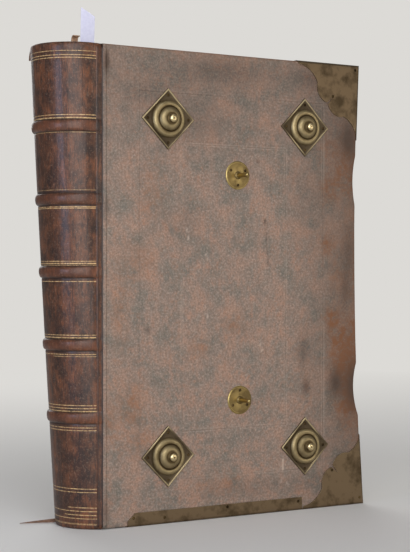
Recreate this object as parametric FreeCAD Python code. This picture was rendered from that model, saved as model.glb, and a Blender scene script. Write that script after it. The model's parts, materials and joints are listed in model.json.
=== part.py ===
import FreeCAD, Part
import os
from math import atan2, cos, degrees, radians, sin, sqrt

os.makedirs("parts", exist_ok=True)
V = FreeCAD.Vector

# A large folio bound in leather over wooden boards, standing on its tail, in millimetres.
# While it is built, x runs from the front joint to the fore-edge, y from the front cover's
# face to the back cover's face, and z up from the table.

# Covers: wooden boards with leather drawn over them and turned in
book_thickness = 90.0
board_thickness = 8.0
leather_thickness = 1.3
cover_tail = 1.0
cover_head = 519.4
cover_width_tail = 351.8
cover_lean = 6.6
fore_edge_wear = 8.3
edge_round = 2.0
turn_in_width = 22.0
pastedown_thickness = 0.4
pastedown_margin = 9.0
joint_gap = 0.2

# Worn hollows in the fore-edge, where the lost straps ran
strap_low_height = 137.0
strap_low_depth = 5.5
strap_low_length = 62.0
strap_high_height = 384.0
strap_high_depth = 3.5
strap_high_length = 58.0

# Leaves
leaf_fore_square = 14.2
leaf_square = 8.0
leaf_clearance = 0.35
fore_edge_hollow = 26.0
flyleaf_thickness = 0.4
glue_gap = 0.1

# Spine, which leans further out at the head
spine_gap = 0.3
joint_depth = 1.5
bulge_tail = 28.5
bulge_middle = 44.8
bulge_head = 59.0
cap_lip = 8.0

# Raised bands over the sewing cords
band_first_height = 119.5
band_spacing = 77.9
band_count = 5
band_width = 12.5
band_rise = 2.8
band_rise_at_joint = 0.4
cord_diameter = 4.2
cord_pair_spacing = 4.0
endband_diameter = 4.4

# Cord ends laced into the boards
slip_length = 38.0
slip_width = 10.0
slip_thickness = 3.0
slip_bump_rise = 0.7
slip_bump_radius = 7.0

# Torn leather at the spine's two ends
tail_flap_length = 40.0
tail_flap_height = 4.5
tail_flap_turn = 40
tail_flap_out = (-0.96, 0.28)
tail_flap_lift = 0.3
tail_flap_root = 9.0
head_flap_reach = 3.2
head_flap_height = 12.0
head_flap_turn = 38
head_flap_below = 2.0
head_flap_root = 2.1

# Markers between the leaves
marker_place_y = 46.8
slip_marker_width = 17.0
slip_marker_thickness = 0.4
slip_marker_rise = 53.0
slip_marker_slant = 8.8
slip_marker_lean = 3.2
slip_marker_depth = 56.0
slip_marker_x = -1.2
tab_width = 8.5
tab_thickness = 1.2
tab_rise = 22.0
tab_depth = 40.0
tab_curl_radius = 3.6
tab_x = -11.0
tab_place_y = 51.0

# Bosses on square plates
boss_from_joint = 80.6
boss_from_fore_edge = 86.2
boss_from_tail = 72.7
boss_from_head = 76.5
plate_side = 47.5
plate_field = 1.1
plate_rim = 1.9
plate_rim_width = 2.6
boss_radius = 20.7
boss_height = 14.4
boss_foot = 1.0
ring_crest = 5.2
ring_crest_outer = 16.7
ring_crest_inner = 14.4
ring_bow = 0.8
groove_radius = 13.9
groove_height = 4.5
dome_edge = 6.6
dome_height = 8.9
dome_bow = 1.5
neck_foot = 5.6
neck_radius = 3.2
neck_height = 10.8
neck_bow = -0.5
knob_face = 2.6
knob_bow = 1.5
dimple_radius = 1.1
dimple_depth = 0.8
plate_nail_reach = 26.0

# Clasp pins on round plates
pin_low_past_middle = 1.7
pin_high_past_middle = -0.9
pin_low_above_boss = 57.4
pin_high_below_boss = 58.7
pin_plate_radius = 16.0
pin_plate_thickness = 1.3
pin_height = 21.5
pin_root_radius = 3.0
pin_tip_radius = 2.35
pin_nail_reach = 11.0
pin_nail_turns = {"lower": (90, 210, 330), "upper": (30, 150, 270)}

# Sheet brass at the corners and along the tail
brass_sheet = 1.0
corner_leg = 91.0
corner_tip = 4.3
corner_waist_along = 62.0
corner_waist_in = 24.0
corner_lobe = 47.7
corner_notch = 39.3
corner_nail_inner = 40.0
corner_nail_outer = 7.0
corner_nail_skew = 2.0
tail_nail_skew = 8.0
strip_start = 30.0
strip_gap = 0.3
strip_height = 15.0
strip_nails_from_start = [(7.0, 9.6), (46.0, 7.2), (128.2, 12.0)]
strip_nail_from_end = (5.5, 10.4)

# Nails
nail_head_radius = 1.7
nail_head_rise = 0.8
nail_shank_radius = 0.8
nail_bite = 5.0
nail_fit = 0.05

# Sizes that follow
cover_thickness = board_thickness + 2 * leather_thickness
cover_width_head = cover_width_tail - cover_lean
leaf_width = cover_width_head - leaf_fore_square
middle_y = book_thickness / 2
leaf_face = cover_thickness + pastedown_thickness + leaf_clearance + flyleaf_thickness
leaf_tail = cover_tail + leaf_square
leaf_head = cover_head - leaf_square
far = cover_width_tail + cover_width_head
corner_x_head = cover_width_head + brass_sheet
corner_x_tail = cover_width_tail + brass_sheet
strip_end = corner_x_tail - corner_leg - strip_gap

boss_inner_x = boss_from_joint
boss_outer_x = cover_width_tail - boss_from_fore_edge
boss_low_z = cover_tail + boss_from_tail
boss_high_z = cover_head - boss_from_head
boss_middle_x = (boss_inner_x + boss_outer_x) / 2

# Far past the book, for tools that cut right through it
beyond = 2 * brass_sheet + edge_round

# The origin goes to the middle of the footprint
origin_x = (corner_x_tail - bulge_head) / 2
origin_y = (book_thickness + boss_height - pin_height) / 2

band_heights = [band_first_height + band_spacing * i for i in range(band_count)]


def save(name, shape):
    """Move a piece to the book's own frame and write it."""
    moved = shape.copy()
    moved.translate(V(-origin_x, -origin_y, 0))
    moved.exportStep("parts/" + name + ".step")
    print(name, len(moved.Solids), moved.isValid(), round(moved.Volume, 1))


def box(x0, x1, y0, y1, z0, z1):
    return Part.makeBox(x1 - x0, y1 - y0, z1 - z0, V(x0, y0, z0))


def post(radius, x, z, y0, y1):
    """A round post that runs along y."""
    return Part.makeCylinder(radius, y1 - y0, V(x, y0, z), V(0, 1, 0))


def arc(p, q, r):
    return Part.Arc(V(*p), V(*q), V(*r)).toShape()


def line(p, q):
    return Part.LineSegment(V(*p), V(*q)).toShape()


def union(shapes):
    first, rest = shapes[0], shapes[1:]
    return first.fuse(rest).removeSplitter() if rest else first


def to_back(shape):
    """The same piece on the back cover."""
    return shape.mirror(V(0, middle_y, 0), V(0, 1, 0))


# Outline of a cover

def fore_edge_circle():
    """Centre and radius of the shallow worn curve between the fore-edge's corners."""
    rise = cover_head - cover_tail
    run = cover_width_head - cover_width_tail
    chord = sqrt(rise**2 + run**2)
    radius = (chord**2 / 4 + fore_edge_wear**2) / (2 * fore_edge_wear)
    middle_x = (cover_width_head + cover_width_tail) / 2
    middle_z = (cover_head + cover_tail) / 2
    reach = radius - fore_edge_wear
    return middle_x + reach * rise / chord, middle_z - reach * run / chord, radius


def fore_edge_x(z):
    x, centre_z, radius = fore_edge_circle()
    return x - sqrt(radius**2 - (z - centre_z) ** 2)


def strap_hollow(z, depth, length):
    """Centre and radius of one worn hollow."""
    radius = (length**2 / 4 + depth**2) / (2 * depth)
    return fore_edge_x(z) + radius - depth, z, radius


def cover_slab(set_in, y0, y1):
    """A slab with the cover's outline, every outer edge set in from the leather's outside."""
    slab = box(joint_gap, far, y0, y1, cover_tail + set_in, cover_head - set_in)
    curves = [
        fore_edge_circle(),
        strap_hollow(strap_low_height, strap_low_depth, strap_low_length),
        strap_hollow(strap_high_height, strap_high_depth, strap_high_length),
    ]
    for x, z, radius in curves:
        slab = slab.cut(post(radius + set_in, x, z, y0, y1))
        slab = max(slab.Solids, key=lambda solid: solid.Volume)
    return slab


def rounded(slab, y, radius):
    """Round the outer edges of a cover slab on one of its faces."""
    edges = []
    for edge in slab.Edges:
        b = edge.BoundBox
        on_face = abs(b.YMin - y) < 1e-6 and abs(b.YMax - y) < 1e-6
        if on_face and b.XMax > joint_gap + 1e-6:
            edges.append(edge)
    return slab.makeFillet(radius, edges)


# Curve of the spine

def bulge_at(z):
    """How far the spine stands out at a height: a gentle curve through three sizes."""
    t = z / cover_head
    return (
        bulge_tail * (1 - t) * (1 - 2 * t)
        + bulge_middle * 4 * t * (1 - t)
        + bulge_head * t * (2 * t - 1)
    )


def curve_through(bulge, depth):
    """Centre and radius of the arc that meets both joints and stands out by the bulge."""
    half = middle_y - depth
    radius = (half**2 + bulge**2) / (2 * bulge)
    return radius - bulge, radius


def spine_section(z, set_in, past_joint):
    centre, radius = curve_through(bulge_at(z), joint_depth)
    radius -= set_in
    x = past_joint - spine_gap
    half = sqrt(radius**2 - (x - centre) ** 2)
    front = (x, middle_y - half, z)
    back = (x, middle_y + half, z)
    apex = (centre - radius, middle_y, z)
    return Part.Wire([arc(front, apex, back), line(back, front)])


def spine_body(set_in, z0, z1, past_joint=0.0):
    """The rounded back between two heights, set in from the leather's outside."""
    levels = [z0, (z0 + z1) / 2, z1]
    return Part.makeLoft([spine_section(z, set_in, past_joint) for z in levels], True, False)


def ring_about(centre, z, radius, section_radius):
    """A round ring about the spine's curve, kept to the spine's side of the joint."""
    ring = Part.makeTorus(radius, section_radius, V(centre, middle_y, z), V(0, 0, 1))
    keep = box(-far, -spine_gap, -far, far, z - band_width, z + band_width)
    return ring.common(keep)


def band_curve(z):
    return curve_through(bulge_at(z) + band_rise, joint_depth - band_rise_at_joint)


def band(z):
    """One raised band: a low rounded rib that dies away towards the joints."""
    centre, radius = band_curve(z)
    half = band_width / 2
    root = radius - band_rise
    inner = root - band_rise
    edges = [
        arc((root, 0, -half), (radius, 0, 0), (root, 0, half)),
        line((root, 0, half), (inner, 0, half)),
        line((inner, 0, half), (inner, 0, -half)),
        line((inner, 0, -half), (root, 0, -half)),
    ]
    rib = Part.Face(Part.Wire(edges)).revolve(V(0, 0, 0), V(0, 0, 1), 360)
    rib.translate(V(centre, middle_y, z))
    keep = box(-far, -spine_gap, -far, far, z - band_width, z + band_width)
    return rib.common(keep)


# Leaves: one block with a rounded back, backed shoulders and a hollow fore-edge

def leaf_block():
    back = spine_body(leather_thickness + glue_gap, leaf_tail, leaf_head)
    leaves = box(-spine_gap, leaf_width, leaf_face, book_thickness - leaf_face, leaf_tail, leaf_head)
    half = middle_y - leaf_face
    radius = (half**2 + fore_edge_hollow**2) / (2 * fore_edge_hollow)
    hollow = Part.makeCylinder(
        radius, far, V(leaf_width + radius - fore_edge_hollow, middle_y, 0), V(0, 0, 1)
    )
    return union([back, leaves.cut(hollow)])


def slip_marker():
    """A strip of stout paper with a slanting top, tucked between the leaves."""
    foot = leaf_head - slip_marker_depth
    top = leaf_head + slip_marker_rise
    share = slip_marker_lean / slip_marker_rise
    left = slip_marker_x - share * slip_marker_depth
    points = [
        (left, marker_place_y, foot),
        (left + slip_marker_width, marker_place_y, foot),
        (left + slip_marker_width + slip_marker_lean, marker_place_y, top - slip_marker_slant),
        (slip_marker_x + slip_marker_lean, marker_place_y, top),
    ]
    wire = Part.Wire([line(points[i], points[(i + 1) % 4]) for i in range(4)])
    return Part.Face(wire).extrude(V(0, slip_marker_thickness, 0))


def tab_marker():
    """A strip of tan leather whose end has curled over."""
    y0 = tab_place_y
    y1 = y0 + tab_thickness
    turn = leaf_head + tab_rise - tab_curl_radius - tab_thickness
    foot = leaf_head - tab_depth
    outer = tab_curl_radius + tab_thickness
    centre_y = y0 - tab_curl_radius
    lean = sin(radians(45))
    edges = [
        line((tab_x, y0, turn), (tab_x, y0, foot)),
        line((tab_x, y0, foot), (tab_x, y1, foot)),
        line((tab_x, y1, foot), (tab_x, y1, turn)),
        arc(
            (tab_x, y1, turn),
            (tab_x, centre_y + outer * lean, turn + outer * lean),
            (tab_x, centre_y, turn + outer),
        ),
        line((tab_x, centre_y, turn + outer), (tab_x, centre_y, turn + tab_curl_radius)),
        arc(
            (tab_x, centre_y, turn + tab_curl_radius),
            (tab_x, centre_y + tab_curl_radius * lean, turn + tab_curl_radius * lean),
            (tab_x, y0, turn),
        ),
    ]
    return Part.Face(Part.Wire(edges)).extrude(V(tab_width, 0, 0))


# Sewing: five double cords round the back, and a wound endband at each end

def sewing_cord(z):
    centre, radius = band_curve(z)
    path = radius - leather_thickness - cord_diameter / 2
    pair = [
        ring_about(centre, z + side * cord_pair_spacing / 2, path, cord_diameter / 2)
        for side in (-1, 1)
    ]
    back = spine_body(leather_thickness, leaf_tail, leaf_head)
    return union(pair).cut(back)


def endband(z):
    """A cord wound with thread, along the back of the leaves at one end."""
    centre, radius = curve_through(bulge_at(z), joint_depth)
    path = radius - leather_thickness - glue_gap - endband_diameter / 2
    return ring_about(centre, z, path, endband_diameter / 2)


# Leather of the spine, with its bands, the caps turned in at both ends and two torn flaps

def tail_flap():
    """A torn strip of the tail cap that has sprung away from the back."""
    centre, radius = curve_through(bulge_at(0), joint_depth)
    root = radius - leather_thickness / 2
    turn = radians(tail_flap_turn)
    x0 = centre - root * cos(turn)
    y0 = middle_y + root * sin(turn)
    out_x, out_y = tail_flap_out
    tip = (x0 + out_x * tail_flap_length, y0 + out_y * tail_flap_length)
    side = leather_thickness / 2
    plan = [
        (x0 - out_y * side + 3 * side, y0 + out_x * side, tail_flap_lift),
        (tip[0], tip[1], tail_flap_lift),
        (x0 + out_y * side + 3 * side, y0 - out_x * side, tail_flap_lift),
    ]
    wire = Part.Wire([line(plan[i], plan[(i + 1) % 3]) for i in range(3)])
    blade = Part.Face(wire).extrude(V(0, 0, tail_flap_height * 3))
    slope = degrees(atan2(tail_flap_height, tail_flap_length))
    under = box(-far, x0, 0, book_thickness * 2, -far, 0)
    under.rotate(V(x0, 0, 0), V(0, 1, 0), slope)
    over = box(-far, x0 + tail_flap_root, 0, book_thickness * 2, tail_flap_height, far)
    over.rotate(V(x0, 0, tail_flap_height), V(0, 1, 0), slope * 0.6)
    return blade.cut(under).cut(over)


def head_flap():
    """A small lip of leather standing out from the back just below the head."""
    top = cover_head - head_flap_below
    foot = top - head_flap_height
    centre, radius = curve_through(bulge_at(foot), joint_depth)
    turn = radians(head_flap_turn)
    outward = V(-cos(turn), sin(turn), 0)
    along = V(sin(turn), cos(turn), 0)
    start = V(centre, middle_y, 0) + outward * (radius - head_flap_root)
    points = [
        start + V(0, 0, top),
        start + V(0, 0, foot),
        start + outward * (head_flap_root + head_flap_reach) + V(0, 0, foot),
        start + outward * (head_flap_root + leather_thickness / 2) + V(0, 0, top),
    ]
    wire = Part.Wire([Part.LineSegment(points[i], points[(i + 1) % 4]).toShape() for i in range(4)])
    return Part.Face(wire).extrude(along * leather_thickness)


def spine_leather(cords):
    outside = union([spine_body(0, 0, cover_head)] + [band(z) for z in band_heights])
    outside = union([outside, tail_flap(), head_flap()])
    past = leather_thickness
    hollow = spine_body(leather_thickness, leather_thickness, cover_head - leather_thickness, past)
    mouth = spine_body(cap_lip, -leaf_square, cover_head + leaf_square, past)
    leather = outside.cut(hollow).cut(mouth).cut(cords)
    return max(leather.Solids, key=lambda solid: solid.Volume)


# Pieces that lie on a cover's face are made flat, then turned to face out of the front cover

def on_front(shape, x, z):
    placed = shape.copy()
    placed.rotate(V(0, 0, 0), V(1, 0, 0), 90)
    placed.translate(V(x, 0, z))
    return placed


def turned(edges):
    """A solid of revolution from its half section, given as edges in the xz plane."""
    return Part.Face(Part.Wire(edges)).revolve(V(0, 0, 0), V(0, 0, 1), 360)


def nail():
    """A small domed nail, its head's underside at height 0."""
    r, s = nail_head_radius, nail_shank_radius
    depth = plate_rim + leather_thickness + nail_bite
    flat = r * 0.25
    return turned([
        line((0, 0, -depth), (s, 0, -depth)),
        line((s, 0, -depth), (s, 0, 0)),
        line((s, 0, 0), (r, 0, 0)),
        arc((r, 0, 0), (r * 0.76, 0, nail_head_rise * 0.68), (flat, 0, nail_head_rise)),
        line((flat, 0, nail_head_rise), (0, 0, nail_head_rise)),
        line((0, 0, nail_head_rise), (0, 0, -depth)),
    ])


def nail_hole():
    depth = plate_rim + leather_thickness + nail_bite
    return Part.makeCylinder(nail_shank_radius + nail_fit, depth + beyond, V(0, 0, -depth))


def nail_set(places, seat):
    """Nails and the holes they need, with their heads on a surface that far off the cover."""
    nails = []
    holes = []
    for x, z in places:
        for made, kept in ((nail(), nails), (nail_hole(), holes)):
            made.translate(V(0, 0, seat))
            kept.append(on_front(made, x, z))
    return nails, holes


def plate():
    """A square plate standing on its corner, with a raised bevelled rim."""
    half = plate_side / 2
    solid = Part.makeBox(plate_side, plate_side, plate_rim, V(-half, -half, 0))
    bevel = plate_rim - plate_field
    top = [e for e in solid.Edges if e.BoundBox.ZMin > plate_rim - 1e-6]
    solid = solid.makeChamfer(bevel, top)
    inner = half - plate_rim_width
    field = Part.makeBox(2 * inner, 2 * inner, plate_rim, V(-inner, -inner, plate_field))
    solid = solid.cut(field)
    solid.rotate(V(0, 0, 0), V(0, 0, 1), 45)
    return solid


def bowed(p, q, bow):
    """An arc between two points of a profile that stands out by the bow from its chord."""
    run, rise = q[0] - p[0], q[2] - p[2]
    chord = sqrt(run**2 + rise**2)
    middle = ((p[0] + q[0]) / 2 + bow * rise / chord, 0, (p[2] + q[2]) / 2 - bow * run / chord)
    return arc(p, middle, q)


def boss():
    """A turned boss: a rounded ring, a dome within it, a neck and a knob with a dimple."""
    base = plate_field
    foot = (boss_radius, 0, base + boss_foot)
    crest = (ring_crest_outer, 0, ring_crest)
    inner_crest = (ring_crest_inner, 0, ring_crest)
    groove = (groove_radius, 0, groove_height)
    dome = (dome_edge, 0, dome_height)
    neck_start = (neck_foot, 0, dome_height)
    neck = (neck_radius, 0, neck_height)
    face = (knob_face, 0, boss_height)
    return turned([
        line((0, 0, base), (boss_radius, 0, base)),
        line((boss_radius, 0, base), foot),
        bowed(foot, crest, ring_bow),
        line(crest, inner_crest),
        line(inner_crest, groove),
        bowed(groove, dome, dome_bow),
        line(dome, neck_start),
        bowed(neck_start, neck, neck_bow),
        bowed(neck, face, knob_bow),
        line(face, (dimple_radius, 0, boss_height)),
        line((dimple_radius, 0, boss_height), (0, 0, boss_height - dimple_depth)),
        line((0, 0, boss_height - dimple_depth), (0, 0, base)),
    ])


def pin_plate():
    """A thin round plate with a turned step, pierced for the pin's shank."""
    r, t = pin_plate_radius, pin_plate_thickness
    bore = pin_tip_radius - nail_shank_radius
    return turned([
        line((bore + nail_fit, 0, 0), (r, 0, 0)),
        line((r, 0, 0), (r, 0, t * 0.5)),
        arc((r, 0, t * 0.5), (r - 0.4, 0, t * 0.9), (r - 1.2, 0, t)),
        line((r - 1.2, 0, t), (bore + nail_fit, 0, t)),
        line((bore + nail_fit, 0, t), (bore + nail_fit, 0, 0)),
    ])


def clasp_pin():
    """A long turned pin with a collar at its root and a rounded tip."""
    root, tip, h, seat = pin_root_radius, pin_tip_radius, pin_height, pin_plate_thickness
    shank = tip - nail_shank_radius
    depth = leather_thickness + nail_bite
    collar = root + 1.6
    return turned([
        line((0, 0, -depth), (shank, 0, -depth)),
        line((shank, 0, -depth), (shank, 0, seat)),
        line((shank, 0, seat), (collar, 0, seat)),
        arc((collar, 0, seat), (collar - 0.3, 0, seat + 0.9), (root, 0, seat + 1.4)),
        line((root, 0, seat + 1.4), (tip, 0, seat + 4.0)),
        line((tip, 0, seat + 4.0), (tip, 0, h - tip)),
        arc((tip, 0, h - tip), (tip * 0.8, 0, h - tip * 0.3), (tip * 0.3, 0, h)),
        line((tip * 0.3, 0, h), (0, 0, h)),
        line((0, 0, h), (0, 0, -depth)),
    ])


def pin_hole():
    depth = leather_thickness + nail_bite
    return Part.makeCylinder(pin_tip_radius - nail_shank_radius + nail_fit, depth, V(0, 0, -depth))


# Sheet brass wrapped over the cover's edges

def brass_shell():
    """All the room that sheet brass would fill if it wrapped the whole cover."""
    outer = cover_slab(-brass_sheet, -brass_sheet, cover_thickness)
    outer = rounded(outer, -brass_sheet, edge_round + brass_sheet)
    inner = cover_slab(0, 0, cover_thickness)
    return outer.cut(rounded(inner, 0, edge_round))


def corner_outline(corner_x, corner_z, up):
    """The ogee outline of a corner piece: arcs, a lobe and a notch, alike on both legs."""
    leg = [
        (corner_leg, -beyond),
        (corner_leg, 0),
        (corner_leg - 2.5, corner_tip),
        (corner_waist_along + 11.0, corner_waist_in - 13.8),
        (corner_waist_along, corner_waist_in),
        (corner_waist_along - 2.3, corner_waist_in + 14.5),
        (corner_lobe + 0.8, corner_lobe - 1.0),
        (corner_notch, corner_notch),
    ]

    def place(point, swap):
        a, b = (point[1], point[0]) if swap else point
        return (corner_x - a, 0, corner_z - up * b)

    def edges(swap):
        p = [place(point, swap) for point in leg]
        return [
            line(p[0], p[1]), line(p[1], p[2]), arc(p[2], p[3], p[4]),
            arc(p[4], p[5], p[6]), line(p[6], p[7]),
        ]

    start = place(leg[0], False)
    end = place(leg[0], True)
    outside = place((leg[0][1], leg[0][1]), False)
    return Part.Wire(edges(False) + edges(True)[::-1] + [line(end, outside), line(outside, start)])


def corner_piece(shell, corner_x, corner_z, up):
    face = Part.Face(corner_outline(corner_x, corner_z, up))
    depth = cover_thickness + 4 * brass_sheet
    region = face.extrude(V(0, depth, 0))
    region.translate(V(0, -2 * brass_sheet, 0))
    piece = region.common(shell)
    return max(piece.Solids, key=lambda solid: solid.Volume)


def tail_strip(shell):
    """A long strip over the tail edge, with its left end cut to a slant."""
    slant = strip_height * 0.6
    points = [
        (strip_start, 0, -beyond),
        (strip_end, 0, -beyond),
        (strip_end, 0, strip_height),
        (strip_start + slant, 0, strip_height),
        (strip_start, 0, strip_height * 0.45),
    ]
    wire = Part.Wire([line(points[i], points[(i + 1) % 5]) for i in range(5)])
    region = Part.Face(wire).extrude(V(0, cover_thickness + 4 * brass_sheet, 0))
    region.translate(V(0, -2 * brass_sheet, 0))
    piece = region.common(shell)
    return max(piece.Solids, key=lambda solid: solid.Volume)


# Parts of one cover, built on the front

def laced_slip(z, y0, y1):
    """The flattened end of one pair of cords, let into the board."""
    half = slip_width / 2
    flat = box(joint_gap, slip_length, y0, y1, z - half, z + half)
    return union([flat, post(half, slip_length, z, y0, y1)])


def slip_bump(z):
    """A low swelling of the leather where a cord enters the board."""
    radius = (slip_bump_radius**2 + slip_bump_rise**2) / (2 * slip_bump_rise)
    ball = Part.makeSphere(radius, V(joint_gap, radius - slip_bump_rise, z))
    keep = box(joint_gap, slip_length, -band_rise, leather_thickness / 2, z - slip_width, z + slip_width)
    return ball.common(keep)


def build_cover(holes):
    """Board, leather, pastedown and laced cord ends, pierced for whatever is nailed on."""
    inside = leather_thickness + board_thickness
    board = cover_slab(leather_thickness, leather_thickness, inside)
    board = rounded(board, leather_thickness, edge_round - leather_thickness)
    outer = rounded(cover_slab(0, 0, cover_thickness), 0, edge_round)
    window = cover_slab(turn_in_width, inside, cover_thickness)
    bumps = [slip_bump(z) for z in band_heights]
    leather = union([outer] + bumps).cut([board, window])
    slips = [laced_slip(z, leather_thickness, leather_thickness + slip_thickness) for z in band_heights]
    sheet = cover_slab(pastedown_margin, cover_thickness, cover_thickness + pastedown_thickness)
    return {
        "board": board.cut(slips + holes),
        "leather": leather.cut(holes),
        "pastedown": union([window, sheet]),
        "cord_slips": Part.Compound(slips),
    }


boss_places = [(x, z) for z in (boss_low_z, boss_high_z) for x in (boss_inner_x, boss_outer_x)]
pin_places = {
    "lower": (boss_middle_x + pin_low_past_middle, boss_low_z + pin_low_above_boss),
    "upper": (boss_middle_x + pin_high_past_middle, boss_high_z - pin_high_below_boss),
}

plate_nail_places = [
    (x + plate_nail_reach * cos(radians(turn)), z + plate_nail_reach * sin(radians(turn)))
    for x, z in boss_places
    for turn in (0, 90, 180, 270)
]
pin_nail_places = [
    (x + pin_nail_reach * cos(radians(turn)), z + pin_nail_reach * sin(radians(turn)))
    for name, (x, z) in pin_places.items()
    for turn in pin_nail_turns[name]
]
corner_nail_places = [
    (corner_x_head - corner_nail_inner, cover_head + corner_nail_skew - corner_nail_inner),
    (corner_x_head - corner_nail_outer, cover_head + corner_nail_skew - corner_nail_outer),
    (corner_x_tail - corner_nail_inner - tail_nail_skew, cover_tail + corner_nail_inner + corner_nail_skew),
    (corner_x_tail - corner_nail_outer, cover_tail + corner_nail_outer),
]
strip_nail_places = [(strip_start + along, up) for along, up in strip_nails_from_start]
strip_nail_places.append((strip_end - strip_nail_from_end[0], strip_nail_from_end[1]))

plate_nails, plate_holes = nail_set(plate_nail_places, plate_field)
pin_nails, pin_nail_holes = nail_set(pin_nail_places, pin_plate_thickness)
corner_nails, corner_holes = nail_set(corner_nail_places, brass_sheet)
strip_nails, strip_holes = nail_set(strip_nail_places, brass_sheet)
pin_holes = [on_front(pin_hole(), x, z) for x, z in pin_places.values()]
shell = brass_shell()

back_holes = plate_holes + corner_holes + strip_holes
front_holes = back_holes + pin_nail_holes + pin_holes

fittings = {
    "head_corner": corner_piece(shell, corner_x_head, cover_head + brass_sheet, 1).cut(corner_holes),
    "tail_corner": corner_piece(shell, corner_x_tail, cover_tail - brass_sheet, -1).cut(corner_holes),
    "tail_strip": tail_strip(shell).cut(strip_holes),
    "boss_nails": Part.Compound(plate_nails),
    "corner_nails": Part.Compound(corner_nails),
    "strip_nails": Part.Compound(strip_nails),
}
for number, (x, z) in enumerate(boss_places, 1):
    fittings["boss_plate_" + str(number)] = on_front(plate(), x, z).cut(plate_holes)
    fittings["boss_" + str(number)] = on_front(boss(), x, z)

# Front cover
for name, shape in list(build_cover(front_holes).items()) + list(fittings.items()):
    save("front_" + name, shape)
for name, (x, z) in pin_places.items():
    save("clasp_plate_" + name, on_front(pin_plate(), x, z).cut(pin_nail_holes))
    save("clasp_pin_" + name, on_front(clasp_pin(), x, z))
save("clasp_nails", Part.Compound(pin_nails))

# Back cover, with the same fittings but no clasp pins
for name, shape in list(build_cover(back_holes).items()) + list(fittings.items()):
    save("back_" + name, to_back(shape))

# Leaves, sewing and spine
markers = [slip_marker(), tab_marker()]
cords = [sewing_cord(z) for z in band_heights]
save("text_block", leaf_block().cut(markers))
save("paper_slip", markers[0])
save("leather_marker", markers[1])
for number, cord in enumerate(cords, 1):
    save("sewing_cord_" + str(number), cord)
save("head_endband", endband(leaf_head + endband_diameter / 2))
save("tail_endband", endband(leaf_tail - endband_diameter / 2))
save("spine_leather", spine_leather(cords))
flyleaf = box(
    joint_gap, leaf_width, leaf_face - flyleaf_thickness, leaf_face, leaf_tail, leaf_head
)
save("front_flyleaf", flyleaf)
save("back_flyleaf", to_back(flyleaf))
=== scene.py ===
import json
from math import acos, cos, exp, hypot, pi, radians, sin, sqrt, tau

import bmesh
import bpy
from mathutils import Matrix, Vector, noise


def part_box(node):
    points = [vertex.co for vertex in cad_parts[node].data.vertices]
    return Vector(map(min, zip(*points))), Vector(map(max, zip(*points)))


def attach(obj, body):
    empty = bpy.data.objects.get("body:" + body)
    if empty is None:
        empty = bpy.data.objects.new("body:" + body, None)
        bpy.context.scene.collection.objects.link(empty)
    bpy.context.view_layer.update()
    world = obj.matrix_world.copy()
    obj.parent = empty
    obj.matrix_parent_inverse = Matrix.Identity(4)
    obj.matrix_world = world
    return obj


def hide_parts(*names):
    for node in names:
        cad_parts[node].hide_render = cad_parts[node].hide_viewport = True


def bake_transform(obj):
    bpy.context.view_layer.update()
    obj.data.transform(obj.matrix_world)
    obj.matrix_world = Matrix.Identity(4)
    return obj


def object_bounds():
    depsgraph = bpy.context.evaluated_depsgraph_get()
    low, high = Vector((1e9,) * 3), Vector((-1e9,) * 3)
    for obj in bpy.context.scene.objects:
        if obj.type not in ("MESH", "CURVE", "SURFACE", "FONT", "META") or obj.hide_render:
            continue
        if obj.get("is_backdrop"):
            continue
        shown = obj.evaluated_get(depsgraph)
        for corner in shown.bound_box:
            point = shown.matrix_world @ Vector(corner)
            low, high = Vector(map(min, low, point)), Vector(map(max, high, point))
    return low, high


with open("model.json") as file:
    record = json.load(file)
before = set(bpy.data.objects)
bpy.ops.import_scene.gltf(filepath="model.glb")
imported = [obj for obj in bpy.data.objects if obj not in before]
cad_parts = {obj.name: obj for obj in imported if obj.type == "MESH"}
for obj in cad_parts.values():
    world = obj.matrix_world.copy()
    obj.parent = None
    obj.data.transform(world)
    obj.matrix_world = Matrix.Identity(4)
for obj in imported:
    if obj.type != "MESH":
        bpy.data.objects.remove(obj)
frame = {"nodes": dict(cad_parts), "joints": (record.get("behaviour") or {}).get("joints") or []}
cad_low, cad_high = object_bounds()

# Studio: the book stands on a pale floor, seen from the left of its front cover with a long lens.
# Five large soft lamps light it, the strongest at the left.
joints = {joint["name"]: joint["pos_m"] for joint in frame["joints"]}
joint_x, face_y = joints["front_joint"][:2]
back_y = joints["back_joint"][1]
middle_y = (face_y + back_y) / 2


def linear(colour):
    """An sRGB hex colour as linear red, green, blue and alpha."""
    values = []
    for start in (1, 3, 5):
        value = int(colour[start:start + 2], 16) / 255
        values.append(value / 12.92 if value <= 0.04045 else ((value + 0.055) / 1.055) ** 2.4)
    return (*values, 1.0)


def feed(node, sources):
    """Link other nodes into a node's inputs. A Mix node gives its colour on its third output."""
    for name, source in sources.items():
        if isinstance(source, bpy.types.ShaderNode):
            source = source.outputs[2 if source.bl_idname == "ShaderNodeMix" else 0]
        node.id_data.links.new(source, node.inputs[name])


def add(tree, kind, settings=None, links=None):
    """Add a shader node, give it its settings and link other nodes into it."""
    made = tree.nodes.new("ShaderNode" + kind)
    if kind == "Mix":
        made.data_type = "RGBA"
    for name, value in (settings or {}).items():
        if name == "stops":
            ramp = made.color_ramp
            while len(ramp.elements) < len(value):
                ramp.elements.new(0.5)
            for element, (position, colour) in zip(ramp.elements, value):
                element.position = position
                element.color = linear(colour)
        elif isinstance(name, str) and hasattr(made, name):
            setattr(made, name, value)
        else:
            is_colour = isinstance(value, str)
            made.inputs[name].default_value = linear(value) if is_colour else value
    feed(made, links or {})
    return made


def finish_of(name, settings):
    """A new material for one real finish: the material, its node tree and its shader."""
    made = bpy.data.materials.new(name)
    made.use_nodes = True
    shader = made.node_tree.nodes["Principled BSDF"]
    for socket, value in settings.items():
        shader.inputs[socket].default_value = value
    return made, made.node_tree, shader


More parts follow.
